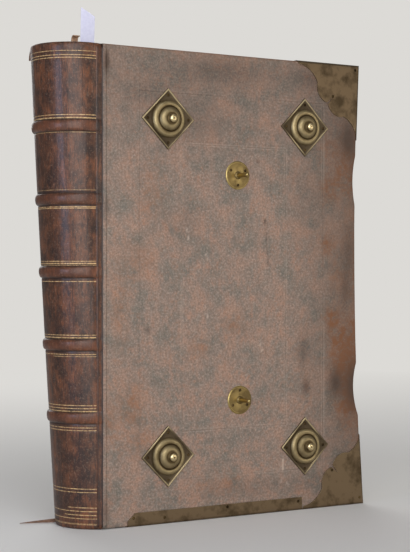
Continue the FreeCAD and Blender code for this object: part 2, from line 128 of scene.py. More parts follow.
def piece_of(name, points, faces, *materials):
    """A smooth mesh piece, in metres, in the book's own frame."""
    mesh = bpy.data.meshes.new(name)
    mesh.from_pydata(points, [], faces)
    mesh.update()
    mesh.polygons.foreach_set("use_smooth", [True] * len(mesh.polygons))
    piece = bpy.data.objects.new(name, mesh)
    bpy.context.scene.collection.objects.link(piece)
    for material in materials:
        mesh.materials.append(material)
    return piece


# The camera is level with the middle of the book and turned to show its spine and front
camera_turn = radians(32.5)
camera_reach = 1.627
camera_right = 0.1087
camera_height = 0.2748
camera_pitch = radians(-0.13)
camera_lens = 99.52
ahead = Vector((sin(camera_turn), cos(camera_turn), 0))
aside = Vector((cos(camera_turn), -sin(camera_turn), 0))
eye = Vector((joint_x, face_y, camera_height)) - camera_reach * ahead + camera_right * aside
camera = bpy.data.objects.new("camera", bpy.data.cameras.new("camera"))
camera.data.lens = camera_lens
camera.data.sensor_width = 36.0
camera.location = eye
camera.rotation_mode = "QUATERNION"
camera.rotation_quaternion = (ahead + Vector((0, 0, sin(camera_pitch)))).to_track_quat("-Z", "Y")
bpy.context.scene.collection.objects.link(camera)
bpy.context.scene.camera = camera
bpy.context.scene.view_settings.view_transform = "Standard"

lamp_settings = {
    "key": ((-1.00, -1.85, 0.62), 1.6, 32.0, "#ffffff"),
    "top": ((-0.4, -1.7, 2.0), 1.2, 9.0, "#f4f6ff"),
    "fill": ((1.5, -2.3, 0.5), 1.0, 9.0, "#fff6ea"),
    "window": ((-1.95, -0.72, 0.45), 0.6, 9.0, "#c6d8ff"),
    "rear": ((0.7, 2.3, 1.5), 2.0, 28.0, "#ffffff"),
}
for name, (place, size, power, colour) in lamp_settings.items():
    lamp = bpy.data.objects.new(name, bpy.data.lights.new(name, "AREA"))
    lamp.data.size = size
    lamp.data.energy = power
    lamp.data.color = linear(colour)[:3]
    lamp.location = place
    lamp.rotation_mode = "QUATERNION"
    lamp.rotation_quaternion = (Vector((0, 0, 0.25)) - Vector(place)).to_track_quat("-Z", "Y")
    bpy.context.scene.collection.objects.link(lamp)

background_colour = "#dcdad6"
room_light = 0.22
world = bpy.data.worlds.new("pale_room")
bpy.context.scene.world = world
world.use_nodes = True
tree = world.node_tree
tree.nodes.clear()
seen = add(tree, "LightPath").outputs["Is Camera Ray"]
lit = add(tree, "Background", {"Color": (1, 1, 1, 1), "Strength": room_light})
shown = add(tree, "Background", {"Color": background_colour, "Strength": 1.0})
both = add(tree, "MixShader", {}, {0: seen, 1: lit, 2: shown})
add(tree, "OutputWorld", {}, {0: both})

# The floor is a wide disc of matt paint, and fades far out into the room's pale colour.
floor_radius = 9.0
fade_start, fade_end = 0.6, 2.6
floor_finish = {"Base Color": linear("#e2e0dc"), "Roughness": 0.9}
floor_paint, tree, shader = finish_of("matt_floor_paint", floor_finish)
place = add(tree, "TexCoord")
length = add(tree, "VectorMath", {"operation": "LENGTH"}, {0: place.outputs["Object"]})
distance = length.outputs["Value"]
fade = add(tree, "MapRange", {"From Min": fade_start, "From Max": fade_end}, {"Value": distance})
rays = add(tree, "LightPath")
far_share = add(tree, "Math", {"operation": "MULTIPLY"}, {0: fade, 1: rays.outputs["Is Camera Ray"]})
glow = add(tree, "Emission", {"Color": background_colour, "Strength": 1.0})
both = add(tree, "MixShader", {}, {0: far_share, 1: shader, 2: glow})
feed(tree.nodes["Material Output"], {"Surface": both})
rim = [(floor_radius * cos(tau * i / 96), floor_radius * sin(tau * i / 96), 0.0) for i in range(96)]
floor = piece_of("floor", rim, [list(range(96))], floor_paint)
floor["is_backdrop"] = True

# Front and back cover: calf leather, tanned brown and drawn wet over the edges of a wooden board.
# It is turned in on three sides and continues over the joint to the spine. Frames of single
# blind lines were rolled into it with a warm tool, and use has rubbed the fore-edge to tan.
cover_tail, cover_head = cad_low.z + 0.001, cad_low.z + 0.5194
cover_width = 0.3518
cover_lean = 0.0066
cover_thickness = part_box("front_leather")[1].y - face_y
leather_thickness = 0.0013
joint_gap = 0.0002
fore_edge_wear = 0.0083
worn_hollows = [(0.137, 0.0055, 0.062), (0.384, 0.0035, 0.058)]
edge_round = 0.002
turn_in = 0.022
band_heights = [0.1195 + 0.0779 * i for i in range(5)]
band_end_rise = 0.0007
outer_frame = (0.045, 0.292, 0.0475, 0.472)
inner_frame = (0.099, 0.239, 0.100, 0.4165)
tool_width = 0.0006
tool_depth = 0.00012


def fore_edge_at(z):
    """How far the worn fore-edge of a cover lies from the joint."""
    up = (z - cover_tail) / (cover_head - cover_tail)
    reach = cover_width - cover_lean * up - fore_edge_wear * 4 * up * (1 - up)
    for height, depth, length in worn_hollows:
        share = 2 * (z - height) / length
        reach -= depth * max(0.0, 1 - share * share)
    return reach


def frame_distance(x, z):
    """Distance to the nearest blind-tooled line."""
    nearest = 1.0
    for left, right, low, high in (outer_frame, inner_frame):
        if left - tool_width < x < right + tool_width:
            nearest = min(nearest, abs(z - low), abs(z - high))
        if low - tool_width < z < high + tool_width:
            nearest = min(nearest, abs(x - left), abs(x - right))
    return nearest


def cover_surface(x, z):
    """How far a cover's leather lies below its flat face: minus is proud of it."""
    near_side = max(0.0, edge_round - (fore_edge_at(z) - x))
    near_end = max(0.0, edge_round - min(z - cover_tail, cover_head - z))
    reach = min(hypot(near_side, near_end), edge_round)
    sink = edge_round - sqrt(edge_round**2 - reach**2)
    for height in band_heights:
        sink -= band_end_rise * exp(-((x / 0.0062) ** 2) - ((z - height) / 0.0048) ** 2)
    sink += tool_depth * exp(-((frame_distance(x, z) / tool_width) ** 2))
    sink += 0.00014 * noise.noise(Vector((x * 38, 0, z * 38)))
    sink += 0.00005 * noise.noise(Vector((x * 260, 3, z * 260)))
    return sink


def graded(start, end, step, places, near):
    """Even positions between two ends, with extra ones close about some places."""
    count = max(2, round((end - start) / step))
    extra = [place + offset for place in places for offset in near if start < place + offset < end]
    even = [start + (end - start) * i / count for i in range(count + 1)]
    kept = [v for v in even if all(abs(v - e) > step * 0.3 for e in extra) or v in (start, end)]
    return sorted(kept + extra)


def mark(x, z, spots):
    """The strength of soft spots at a place, each given by its middle, half sizes and strength."""
    total = 0.0
    for mid_x, mid_z, wide, high, strength in spots:
        share = ((x - mid_x) / wide) ** 2 + ((z - mid_z) / high) ** 2
        if share < 9:
            total += strength * exp(-share)
    return total


def streak(x, z, start, end, width):
    """The strength of a scratch between two points."""
    run_x, run_z = end[0] - start[0], end[1] - start[1]
    along = ((x - start[0]) * run_x + (z - start[1]) * run_z) / (run_x**2 + run_z**2)
    along = min(1.0, max(0.0, along))
    away = hypot(x - start[0] - along * run_x, z - start[1] - along * run_z)
    return exp(-((away / width) ** 2))


rubbed_spots = [
    (0.325, 0.402, 0.020, 0.026, 0.7), (0.303, 0.372, 0.013, 0.015, 0.9), (0.300, 0.307, 0.010, 0.012, 0.8),
    (0.303, 0.221, 0.010, 0.014, 0.9), (0.322, 0.185, 0.020, 0.035, 1.1), (0.328, 0.118, 0.016, 0.020, 0.9),
    (0.335, 0.150, 0.020, 0.034, 0.9), (0.035, 0.132, 0.014, 0.022, 0.6), (0.300, 0.420, 0.018, 0.014, 0.4),
    (0.010, 0.115, 0.010, 0.020, 0.4), (0.120, 0.190, 0.012, 0.010, 0.4), (0.170, 0.215, 0.016, 0.012, 0.4),
    (0.060, 0.360, 0.016, 0.030, 0.3), (0.020, 0.240, 0.010, 0.050, 0.3), (0.045, 0.290, 0.016, 0.018, 0.4),
    (0.310, 0.270, 0.010, 0.020, 0.4), (0.050, 0.090, 0.020, 0.016, 0.4), (0.150, 0.040, 0.030, 0.012, 0.3),
]
# Dark spots: small stains, and broad spots along the head and the fore-edge that are painted shade
dark_spots = [
    (0.2003, 0.4004, 0.0022, 0.0020, 1.0),
    (0.3101, 0.146, 0.010, 0.016, 0.9), (0.268, 0.142, 0.006, 0.010, 0.9),
    (0.264, 0.183, 0.009, 0.020, 0.6), (0.330, 0.300, 0.010, 0.030, 0.5), (0.325, 0.255, 0.008, 0.020, 0.5),
    (0.150, 0.500, 0.060, 0.016, 0.5), (0.290, 0.500, 0.050, 0.012, 0.4), (0.060, 0.470, 0.040, 0.020, 0.3),
    (0.055, 0.212, 0.004, 0.004, 0.8), (0.120, 0.440, 0.040, 0.030, 0.3), (0.330, 0.430, 0.012, 0.020, 0.7),
    (0.345, 0.385, 0.010, 0.020, 0.7), (0.338, 0.140, 0.016, 0.030, 0.9), (0.200, 0.030, 0.100, 0.012, 0.35),
    (0.0045, 0.500, 0.0035, 0.012, 1.4), (0.003, 0.020, 0.004, 0.016, 0.9), (0.100, 0.330, 0.030, 0.020, 0.3),
    (0.265, 0.360, 0.030, 0.040, 0.25), (0.004, 0.345, 0.004, 0.012, 0.7),
]
dark_scratches = [((0.2100, 0.3347), (0.2142, 0.2834), 0.0011)]
pale_scratches = [
    ((0.1050, 0.3230), (0.1075, 0.3110), 0.0006), ((0.1300, 0.2960), (0.1325, 0.2890), 0.0006),
    ((0.2350, 0.0600), (0.2352, 0.0480), 0.0007), ((0.2322, 0.0400), (0.2325, 0.0340), 0.0006),
    ((0.1310, 0.2330), (0.1325, 0.2240), 0.0006), ((0.2030, 0.1950), (0.2060, 0.1850), 0.0005),
    ((0.2400, 0.0330), (0.2430, 0.0290), 0.0006),
]


def rubbed_at(x, z):
    """Leather rubbed to a warm tan: in spots, along the fore-edge and along the head."""
    from_edge = fore_edge_at(z) - x
    worn = mark(x, z, rubbed_spots) + 0.35 * exp(-((from_edge / 0.02) ** 2))
    worn += 0.5 * exp(-((from_edge / 0.003) ** 2))
    worn += 0.6 * exp(-(((cover_head - z) / 0.0016) ** 2))
    return worn * (1.0 + 0.8 * noise.noise(Vector((x * 90, 7, z * 90))))


def eased(value, start, end):
    """0 before the start and 1 past the end, with a smooth rise between them."""
    share = min(1.0, max(0.0, (value - start) / (end - start)))
    return share * share * (3 - 2 * share)


def dark_at(x, z):
    """Darkening: painted shade towards the fore-edge and the head, dark spots and scratches, and the tooled
    lines.
    """
    # The two broad terms are painted shade, darker towards the fore-edge and the head
    dark = mark(x, z, dark_spots) + 0.70 * eased(x, 0.22, 0.34) + 0.40 * eased(z, 0.34, 0.50)
    for start, end, width in dark_scratches:
        broken = 0.6 + 0.9 * noise.noise(Vector((x * 60, 1, z * 190)))
        dark += 1.3 * streak(x, z, start, end, width) * max(0.0, broken)
    worn_away = 0.25 + 0.5 * noise.noise(Vector((x * 14, 4, z * 14)))
    dark += max(0.08, worn_away) * exp(-((frame_distance(x, z) / 0.0006) ** 2))
    return dark


def pale_at(x, z):
    """Pale scuffs: single scratches, and the burnished edges of the tooled lines."""
    pale = sum(streak(x, z, start, end, width) for start, end, width in pale_scratches)
    shown = max(0.0, 0.12 + 0.5 * noise.noise(Vector((x * 11, 9, z * 11))))
    return pale + shown * exp(-(((frame_distance(x, z) - 0.0011) / 0.0005) ** 2))


def store(piece, name, values):
    """Keep one value for each point of a piece, for its material to read."""
    piece.data.attributes.new(name, "FLOAT", "POINT").data.foreach_set("value", values)


def stain(piece, name, strength_at):
    """Store how strong a mark is at each point of a piece, measured from its joint."""
    strengths = [strength_at(vertex.co.x - joint_x, vertex.co.z) for vertex in piece.data.vertices]
    store(piece, name, [min(1.5, max(0.0, strength)) for strength in strengths])


def grid(rows, columns):
    """Four-sided faces over a grid of points that are counted row by row."""
    return [
        (r * columns + c, r * columns + c + 1, (r + 1) * columns + c + 1, (r + 1) * columns + c)
        for r in range(rows - 1)
        for c in range(columns - 1)
    ]


def closed(piece, sharp_degrees, merge=0.0):
    """Join points that coincide, fill open ends, turn the faces outward and keep sharp edges crisp."""
    tidy = bmesh.new()
    tidy.from_mesh(piece.data)
    if merge:
        bmesh.ops.remove_doubles(tidy, verts=tidy.verts, dist=merge)
        bmesh.ops.holes_fill(tidy, edges=[edge for edge in tidy.edges if edge.is_boundary])
    bmesh.ops.recalc_face_normals(tidy, faces=tidy.faces)
    tidy.to_mesh(piece.data)
    tidy.free()
    piece.data.set_sharp_from_angle(angle=radians(sharp_degrees))


# Calf: matt and dry, mottled grey over pinkish brown, with a fine speckle and a fine grain
calf, tree, shader = finish_of("rubbed_brown_calf", {"Roughness": 0.62, "IOR": 1.5})
place = add(tree, "TexCoord").outputs["Object"]
# Cloudy mottling about 20 mm across, from grey-brown to tan
clouds = add(tree, "TexNoise", {"Scale": 42.0, "Detail": 7.0, "Roughness": 0.66}, {"Vector": place})
browns = [(0.36, "#6c655b"), (0.50, "#837063"), (0.64, "#947664")]
ground = add(tree, "ValToRGB", {"stops": browns}, {0: clouds})
# Blotches of rust, 5 mm across, where the dye has bitten, gathered in patches of 15 mm
blotches = add(tree, "TexNoise", {"Scale": 170.0, "Detail": 7.0, "Roughness": 0.78}, {"Vector": place})
patches = add(tree, "TexNoise", {"Scale": 55.0, "Detail": 5.0, "Roughness": 0.65}, {"Vector": place})
patch_share = add(tree, "MapRange", {"From Min": 0.42, "From Max": 0.60, "To Min": 0.05}, {"Value": patches})
blotch_share = add(tree, "MapRange", {"From Min": 0.49, "From Max": 0.66, "To Max": 0.6}, {"Value": blotches})
rust_share = add(tree, "Math", {"operation": "MULTIPLY"}, {0: patch_share, 1: blotch_share})
tan = add(tree, "Mix", {7: "#a27054"}, {0: rust_share, 6: ground})
# Grey bloom between the blotches
bloom_share = add(tree, "MapRange", {"From Min": 0.48, "From Max": 0.34, "To Max": 0.5}, {"Value": blotches})
grey = add(tree, "Mix", {7: "#66635d"}, {0: bloom_share, 6: tan})
# Dark and pale sprinkling, drawn 2 mm across so that it shows
sprinkle = add(tree, "TexNoise", {"Scale": 430.0, "Detail": 3.0, "Roughness": 0.7}, {"Vector": place})
dark_specks = {"From Min": 0.51, "From Max": 0.66, "To Max": 0.5}
sprinkle_share = add(tree, "MapRange", dark_specks, {"Value": sprinkle})
speckled = add(tree, "Mix", {7: "#544438"}, {0: sprinkle_share, 6: grey})
pale_share = add(tree, "MapRange", {"From Min": 0.48, "From Max": 0.33, "To Max": 0.4}, {"Value": sprinkle})
dusty = add(tree, "Mix", {7: "#b4a08f"}, {0: pale_share, 6: speckled})
rubbed = add(tree, "Attribute", {"attribute_name": "rubbed"}).outputs["Fac"]
broken = add(tree, "MapRange", {"From Min": 0.38, "From Max": 0.56, "To Min": 0.25}, {"Value": blotches})
rubbed_share = add(tree, "Math", {"operation": "MULTIPLY", "use_clamp": True}, {0: rubbed, 1: broken})
worn = add(tree, "Mix", {7: "#85532f"}, {0: rubbed_share, 6: dusty})
# Stored darkening: dirt, and painted shade towards the fore-edge, the head and in the joint's fold
dark = add(tree, "Attribute", {"attribute_name": "dark"}).outputs["Fac"]
dark_share = add(tree, "Math", {"operation": "MULTIPLY", 1: 0.60, "use_clamp": True}, {0: dark})
dirt_and_shade = add(tree, "Mix", {7: "#3b2a1e"}, {0: dark_share, 6: worn})
pale = add(tree, "Attribute", {"attribute_name": "pale"}).outputs["Fac"]
scuff_share = add(tree, "Math", {"operation": "MULTIPLY", 1: 0.7, "use_clamp": True}, {0: pale})
scuffed = add(tree, "Mix", {7: "#b9a797"}, {0: scuff_share, 6: dirt_and_shade})
rough = add(tree, "MapRange", {"To Min": 0.50, "To Max": 0.72}, {"Value": blotches})
feed(shader, {"Base Color": scuffed, "Roughness": rough})
# Grain of 0.6 mm, drawn twice as coarse as on real calf so that it shows
grain = add(tree, "TexVoronoi", {"Scale": 1700.0, "feature": "DISTANCE_TO_EDGE"}, {"Vector": place})
grain_bump = add(tree, "Bump", {"Strength": 0.18, "Distance": 0.0002}, {"Height": grain})
grained = {"Height": blotches, "Normal": grain_bump}
soft_bump = add(tree, "Bump", {"Strength": 0.10, "Distance": 0.0006}, grained)
feed(shader, {"Normal": soft_bump})


def cover_leather(side, body):
    """The leather of one cover: its face, its rounded edges and the turn-in on the inside."""
    flip = 1 if side == "front" else -1
    outside = face_y if side == "front" else back_y
    steps = [0.0, 0.00025, 0.0007, 0.0013]
    tooled = [*outer_frame[:2], *inner_frame[:2]]
    near = (-0.0011, -0.0005, 0.0, 0.0005, 0.0011)
    inner_columns = graded(joint_gap, 0.300, 0.0021, tooled, near)
    outer_shares = [i / 22 for i in range(1, 23)]
    tooled_rows = [*outer_frame[2:], *inner_frame[2:]]
    rows = graded(cover_tail + 0.002, cover_head - 0.002, 0.0021, tooled_rows, near)
    rows = [cover_tail + d for d in steps] + rows + [cover_head - d for d in steps[::-1]]

    def columns_at(z):
        edge = fore_edge_at(z)
        outer = [0.300 + (edge - 0.002 - 0.300) * share for share in outer_shares]
        return inner_columns + outer + [edge - d for d in steps[::-1]]

    points = []
    for z in rows:
        for x in columns_at(z):
            points.append((joint_x + x, outside + flip * cover_surface(x, z), z))
    wide, high = len(points) // len(rows), len(rows)
    faces = grid(high, wide)
    border = list(range(wide))
    border += [r * wide + wide - 1 for r in range(1, high)]
    border += [(high - 1) * wide + c for c in range(wide - 2, -1, -1)]
    border += [r * wide for r in range(high - 2, 0, -1)]
    inside = cover_thickness
    loops = [(0.0, inside - 0.0008), (0.0003, inside - 0.0002), (0.0010, inside)]
    loops += [(turn_in, inside), (turn_in, inside - leather_thickness)]
    last = border
    for inset, depth in loops:
        ring = []
        for index in border:
            x, z = points[index][0] - joint_x, points[index][2]
            z = min(max(z, cover_tail + inset), cover_head - inset)
            x = min(x, fore_edge_at(z) - inset)
            ring.append(len(points))
            points.append((joint_x + x, outside + flip * depth, z))
        for i in range(len(ring)):
            k = (i + 1) % len(ring)
            faces.append((last[i], ring[i], ring[k], last[k]))
        last = ring
    faces.append(tuple(reversed(last)))
    if side == "back":
        faces = [tuple(reversed(face)) for face in faces]
    piece = piece_of(side + "_cover_leather", points, faces, calf)
    closed(piece, 40, merge=0.00002)
    # The back gets less of this darkening, painted shade included, and no scratches
    stain(piece, "rubbed", rubbed_at)
    stain(piece, "dark", lambda x, z: dark_at(x, z) * (1.0 if side == "front" else 0.6))
    if side == "front":
        stain(piece, "pale", pale_at)
    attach(piece, body)
    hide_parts(side + "_leather")


cover_leather("front", "front_cover")
cover_leather("back", "back_cover")

# Leather of the spine: darker calf, polished by handling, pulled tight over five pairs of cords and
# folded over the endbands. Gilt fillets were rolled above and below each band with gold leaf.
bulges = (0.0285, 0.0448, 0.0590)
joint_depth = 0.0015
spine_gap = 0.0003
band_width = 0.0125
band_rise = 0.0028
band_rise_at_joint = 0.0004
cap_lip = 0.0080
cap_roll = 0.0028
spine_head = cover_head


def bulge_at(z):
    """How far the spine stands out behind the joints at a height."""
    t = z / spine_head
    tail, mid, head = bulges
    return tail * (1 - t) * (1 - 2 * t) + mid * 4 * t * (1 - t) + head * t * (2 * t - 1)


def back_circle(bulge, depth):
    """Distance of the centre behind the joint, and radius, of the arc through both joints."""
    half = (back_y - face_y) / 2 - depth
    radius = (half**2 + bulge**2) / (2 * bulge)
    return radius - bulge, radius


def band_rise_towards(z, turn):
    """How far a band stands out from the back in one direction."""
    centre, radius = back_circle(bulge_at(z), joint_depth)
    outer_centre, outer_radius = back_circle(bulge_at(z) + band_rise, joint_depth - band_rise_at_joint)
    shift = (outer_centre - centre) * cos(turn)
    gap = outer_centre - centre
    reach = -shift + sqrt(outer_radius**2 - gap**2 + shift**2)
    return max(0.0, reach - radius)


def spine_lift(z, turn, share):
    """How far the leather of the spine lies out from the smooth round of the back."""
    lift = 0.0
    for height in band_heights:
        off = abs(z - height) / (band_width / 2)
        if off < 1:
            lift += band_rise_towards(height, turn) * (1 - off**2.4) ** 0.62
        lift -= 0.00035 * exp(-(((off - 1.06) * band_width / 2 / 0.0009) ** 2))
    for low, high, _, _, _ in gilt_lines:
        lift -= 0.00010 * exp(-(((z - (low + high) / 2) / 0.0006) ** 2))
    fold = noise.noise(Vector((share * 24, z * 9, 2)))
    lift += 0.00022 * fold * max(0.0, 1 - abs(share))**0.3
    lift += 0.00030 * noise.noise(Vector((share * 3, z * 14, 5)))
    lift += 0.00010 * noise.noise(Vector((share * 14, z * 210, 8)))
    return lift


def gilt(height, width, start=-0.93, end=0.93, strength=1.0):
    """A gilt line round the spine: its height, width, two ends across the spine and strength."""
    return (height - width / 2, height + width / 2, start, end, strength)


b5, b4, b3, b2, b1 = band_heights
fine, thick = 0.0007, 0.0012
gilt_lines = [
    gilt(0.5096, fine, strength=0.8), gilt(0.5052, fine), gilt(0.5024, fine),
    gilt(b1 + 0.0110, fine), gilt(b1 + 0.0078, thick), gilt(b1 - 0.0074, fine, strength=0.6),
    gilt(b2 + 0.0094, fine, strength=0.4), gilt(b2 - 0.0085, fine), gilt(b2 - 0.0100, fine),
    gilt(b3 + 0.0115, fine), gilt(b3 + 0.0091, thick), gilt(b3 + 0.0072, fine, strength=0.6),
    gilt(b3 - 0.0100, fine),
    gilt(b4 + 0.0107, fine), gilt(b4 + 0.0080, thick), gilt(b4 - 0.0099, fine),
    gilt(b4 - 0.0121, fine, -0.93, -0.1, 0.7),
    gilt(b5 + 0.0135, fine), gilt(b5 + 0.0103, fine), gilt(b5 + 0.0072, thick), gilt(b5 - 0.0103, fine),
    gilt(b5 - 0.0133, fine),
    gilt(0.0436, fine), gilt(0.0400, fine),
    gilt(0.0235, fine, -0.93, -0.3), gilt(0.0196, fine), gilt(0.0155, fine, -0.93, -0.2), gilt(0.0117, fine),
    gilt(0.0058, 0.0016, -0.9, 0.6, 0.55),
]


def spine_point(share, z, lift, outside=0.0):
    """A point of the spine's surface: share runs from -1 at the front joint to 1 at the back."""
    centre, radius = back_circle(bulge_at(z), joint_depth)
    reach = radius + lift + outside
    turn = share * acos((centre + spine_gap) / reach)
    return (joint_x + centre - reach * cos(turn), middle_y + reach * sin(turn), z)


def spine_turn(share, z):
    """The direction from the back's centre to a place on the spine."""
    centre, radius = back_circle(bulge_at(z), joint_depth)
    return share * acos((centre + spine_gap) / radius)


def spine_rows():
    """Heights of the rows, close together at the bands and at the edges of each gilt line."""
    near = [band_width * i / 26 for i in range(-16, 17)]
    rows = graded(cap_roll, spine_head - cap_roll, 0.0022, band_heights, near)
    for low, high, _, _, _ in gilt_lines:
        rows = [z for z in rows if z < low - 0.0003 or z > high + 0.0003]
        rows += [low - 0.00012, low, high, high + 0.00012]
    return sorted(z for z in rows if cap_roll <= z <= spine_head - cap_roll)


across = 84
shares = [2 * i / across - 1 for i in range(across + 1)]
rolled = [(cap_roll * (1 - sin(turn)), cap_roll * (1 - cos(turn))) for turn in map(radians, (22, 45, 68))]
profile = [(-cap_lip, 0.0), (-cap_lip * 0.7, 0.0), (-cap_roll, 0.0)]
profile += [(-inward, up) for inward, up in rolled]
profile += [(None, z) for z in spine_rows()]
profile += [(-inward, spine_head - down) for inward, down in rolled[::-1]]
profile += [(-cap_roll, spine_head), (-cap_lip * 0.7, spine_head), (-cap_lip, spine_head)]
points = []
for out, z in profile:
    for share in shares:
        lift = spine_lift(z, spine_turn(share, z), share) if out is None else out
        points.append(spine_point(share, z, lift))
faces = [(a, d, c, b) for a, b, c, d in grid(len(profile), across + 1)]


def gilt_at(share, z):
    """How much gold is left of the lines at a place on the spine."""
    for low, high, start, end, strength in gilt_lines:
        if low - 1e-5 <= z <= high + 1e-5 and start <= share <= end:
            rubbed_off = 0.35 + 0.9 * noise.noise(Vector((share * 16, 0, z * 400)))
            return strength * min(1.0, max(0.25, 1.0 - rubbed_off * 0.5))
    return 0.0


def band_shade_at(z):
    """Rust-red wear on the crest of each band."""
    return sum(exp(-(((z - height) / (0.4 * band_width)) ** 4)) for height in band_heights)


def crease_at(share, z):
    """Painted shade in the crease above and below each band, and along both joints."""
    total = 0.0
    for height in band_heights:
        off = (z - height) / (band_width / 2)
        total += exp(-(((off - 1.1) / 0.16) ** 2)) + exp(-(((off + 1.08) / 0.16) ** 2))
    total += 0.8 * exp(-(((abs(share) - 0.985) / 0.012) ** 2))
    total += 0.35 * exp(-(((abs(share) - 0.945) / 0.006) ** 2))
    return total


# Polished calf: the same leather, darker, handled until its surface took a soft shine
shine = {"IOR": 1.45, "Specular IOR Level": 0.3, "Coat Weight": 0.36, "Coat Roughness": 0.28}
polished, tree, shader = finish_of("handled_dark_calf", shine)
place = add(tree, "TexCoord").outputs["Object"]
clouds = add(tree, "TexNoise", {"Scale": 55.0, "Detail": 6.0, "Roughness": 0.65}, {"Vector": place})
browns = [(0.36, "#2c1a12"), (0.50, "#462a1b"), (0.64, "#633a22")]
ground = add(tree, "ValToRGB", {"stops": browns}, {0: clouds})
# Rust blotches 8 mm across, drawn out along the spine
drawn_out = add(tree, "Mapping", {"Scale": (1.0, 1.0, 0.5)}, {"Vector": place})
blotches = add(tree, "TexNoise", {"Scale": 110.0, "Detail": 8.0, "Roughness": 0.75}, {"Vector": drawn_out})
rust_share = add(tree, "MapRange", {"From Min": 0.49, "From Max": 0.66, "To Max": 0.5}, {"Value": blotches})
rusty = add(tree, "Mix", {7: "#8e5534"}, {0: rust_share, 6: ground})
# Fine upright creases about 1 mm apart, from the back bending as the book was read
stretched = add(tree, "Mapping", {"Scale": (1.0, 1.0, 0.12)}, {"Vector": place})
creases = add(tree, "TexNoise", {"Scale": 620.0, "Detail": 3.0, "Roughness": 0.6}, {"Vector": stretched})
crease_share = add(tree, "MapRange", {"From Min": 0.50, "From Max": 0.64, "To Max": 0.75}, {"Value": creases})
streaked = add(tree, "Mix", {7: "#2a1b14"}, {0: crease_share, 6: rusty})
sprinkle = add(tree, "TexNoise", {"Scale": 500.0, "Detail": 4.0, "Roughness": 0.7}, {"Vector": place})
pale_share = add(tree, "MapRange", {"From Min": 0.46, "From Max": 0.32, "To Max": 0.4}, {"Value": sprinkle})
lit = add(tree, "Mix", {7: "#8a7160"}, {0: pale_share, 6: streaked})
band = add(tree, "Attribute", {"attribute_name": "band"}).outputs["Fac"]
band_share = add(tree, "Math", {"operation": "MULTIPLY", 1: 0.35, "use_clamp": True}, {0: band})
banded = add(tree, "Mix", {7: "#6a3a22"}, {0: band_share, 6: lit})
# Painted shade in the creases at the foot of each band and along both joints
dark = add(tree, "Attribute", {"attribute_name": "dark"}).outputs["Fac"]
dark_share = add(tree, "Math", {"operation": "MULTIPLY", 1: 0.8, "use_clamp": True}, {0: dark})
dirt_and_shade = add(tree, "Mix", {7: "#1f130e"}, {0: dark_share, 6: banded})
# Gold leaf, thin and rubbed, so that the leather shows through it in grains under 1 mm
gold = add(tree, "Attribute", {"attribute_name": "gilt"}).outputs["Fac"]
worn_gold = add(tree, "MapRange", {"From Min": 0.66, "From Max": 0.44, "To Min": 0.1}, {"Value": sprinkle})
gold_share = add(tree, "Math", {"operation": "MULTIPLY", "use_clamp": True}, {0: gold, 1: worn_gold})
gilded = add(tree, "Mix", {7: "#d0ac78"}, {0: gold_share, 6: dirt_and_shade})
rough = add(tree, "MapRange", {"To Min": 0.46, "To Max": 0.70}, {"Value": blotches})
feed(shader, {"Base Color": gilded, "Roughness": rough})
crease_bump = add(tree, "Bump", {"Strength": 0.35, "Distance": 0.0004}, {"Height": creases})
grain = add(tree, "TexVoronoi", {"Scale": 1700.0, "feature": "DISTANCE_TO_EDGE"}, {"Vector": place})
creased_grain = {"Height": grain, "Normal": crease_bump}
grain_bump = add(tree, "Bump", {"Strength": 0.12, "Distance": 0.0002}, creased_grain)
feed(shader, {"Normal": grain_bump})

spine = piece_of("spine_leather_worked", points, faces, polished)
row_shares = shares * len(profile)
row_heights = [z for _, z in profile for _ in shares]

store(spine, "gilt", [gilt_at(s, z) for s, z in zip(row_shares, row_heights)])
store(spine, "band", [band_shade_at(z) for z in row_heights])
store(spine, "dark", [crease_at(s, z) for s, z in zip(row_shares, row_heights)])
spine.data.set_sharp_from_angle(angle=radians(60))
shell = spine.modifiers.new("thickness", "SOLIDIFY")
shell.thickness = leather_thickness * 0.9
shell.offset = -1.0
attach(spine, "book_block")
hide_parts("spine_leather")

# Joints: the leather runs on from the spine over each joint to the cover, creased where it bends.
strip_on_spine = [-0.90, -0.93, -0.96, -0.98]
strip_on_cover = [0.0010, 0.0020, 0.0032, 0.0046]
strip_lift = 0.00016


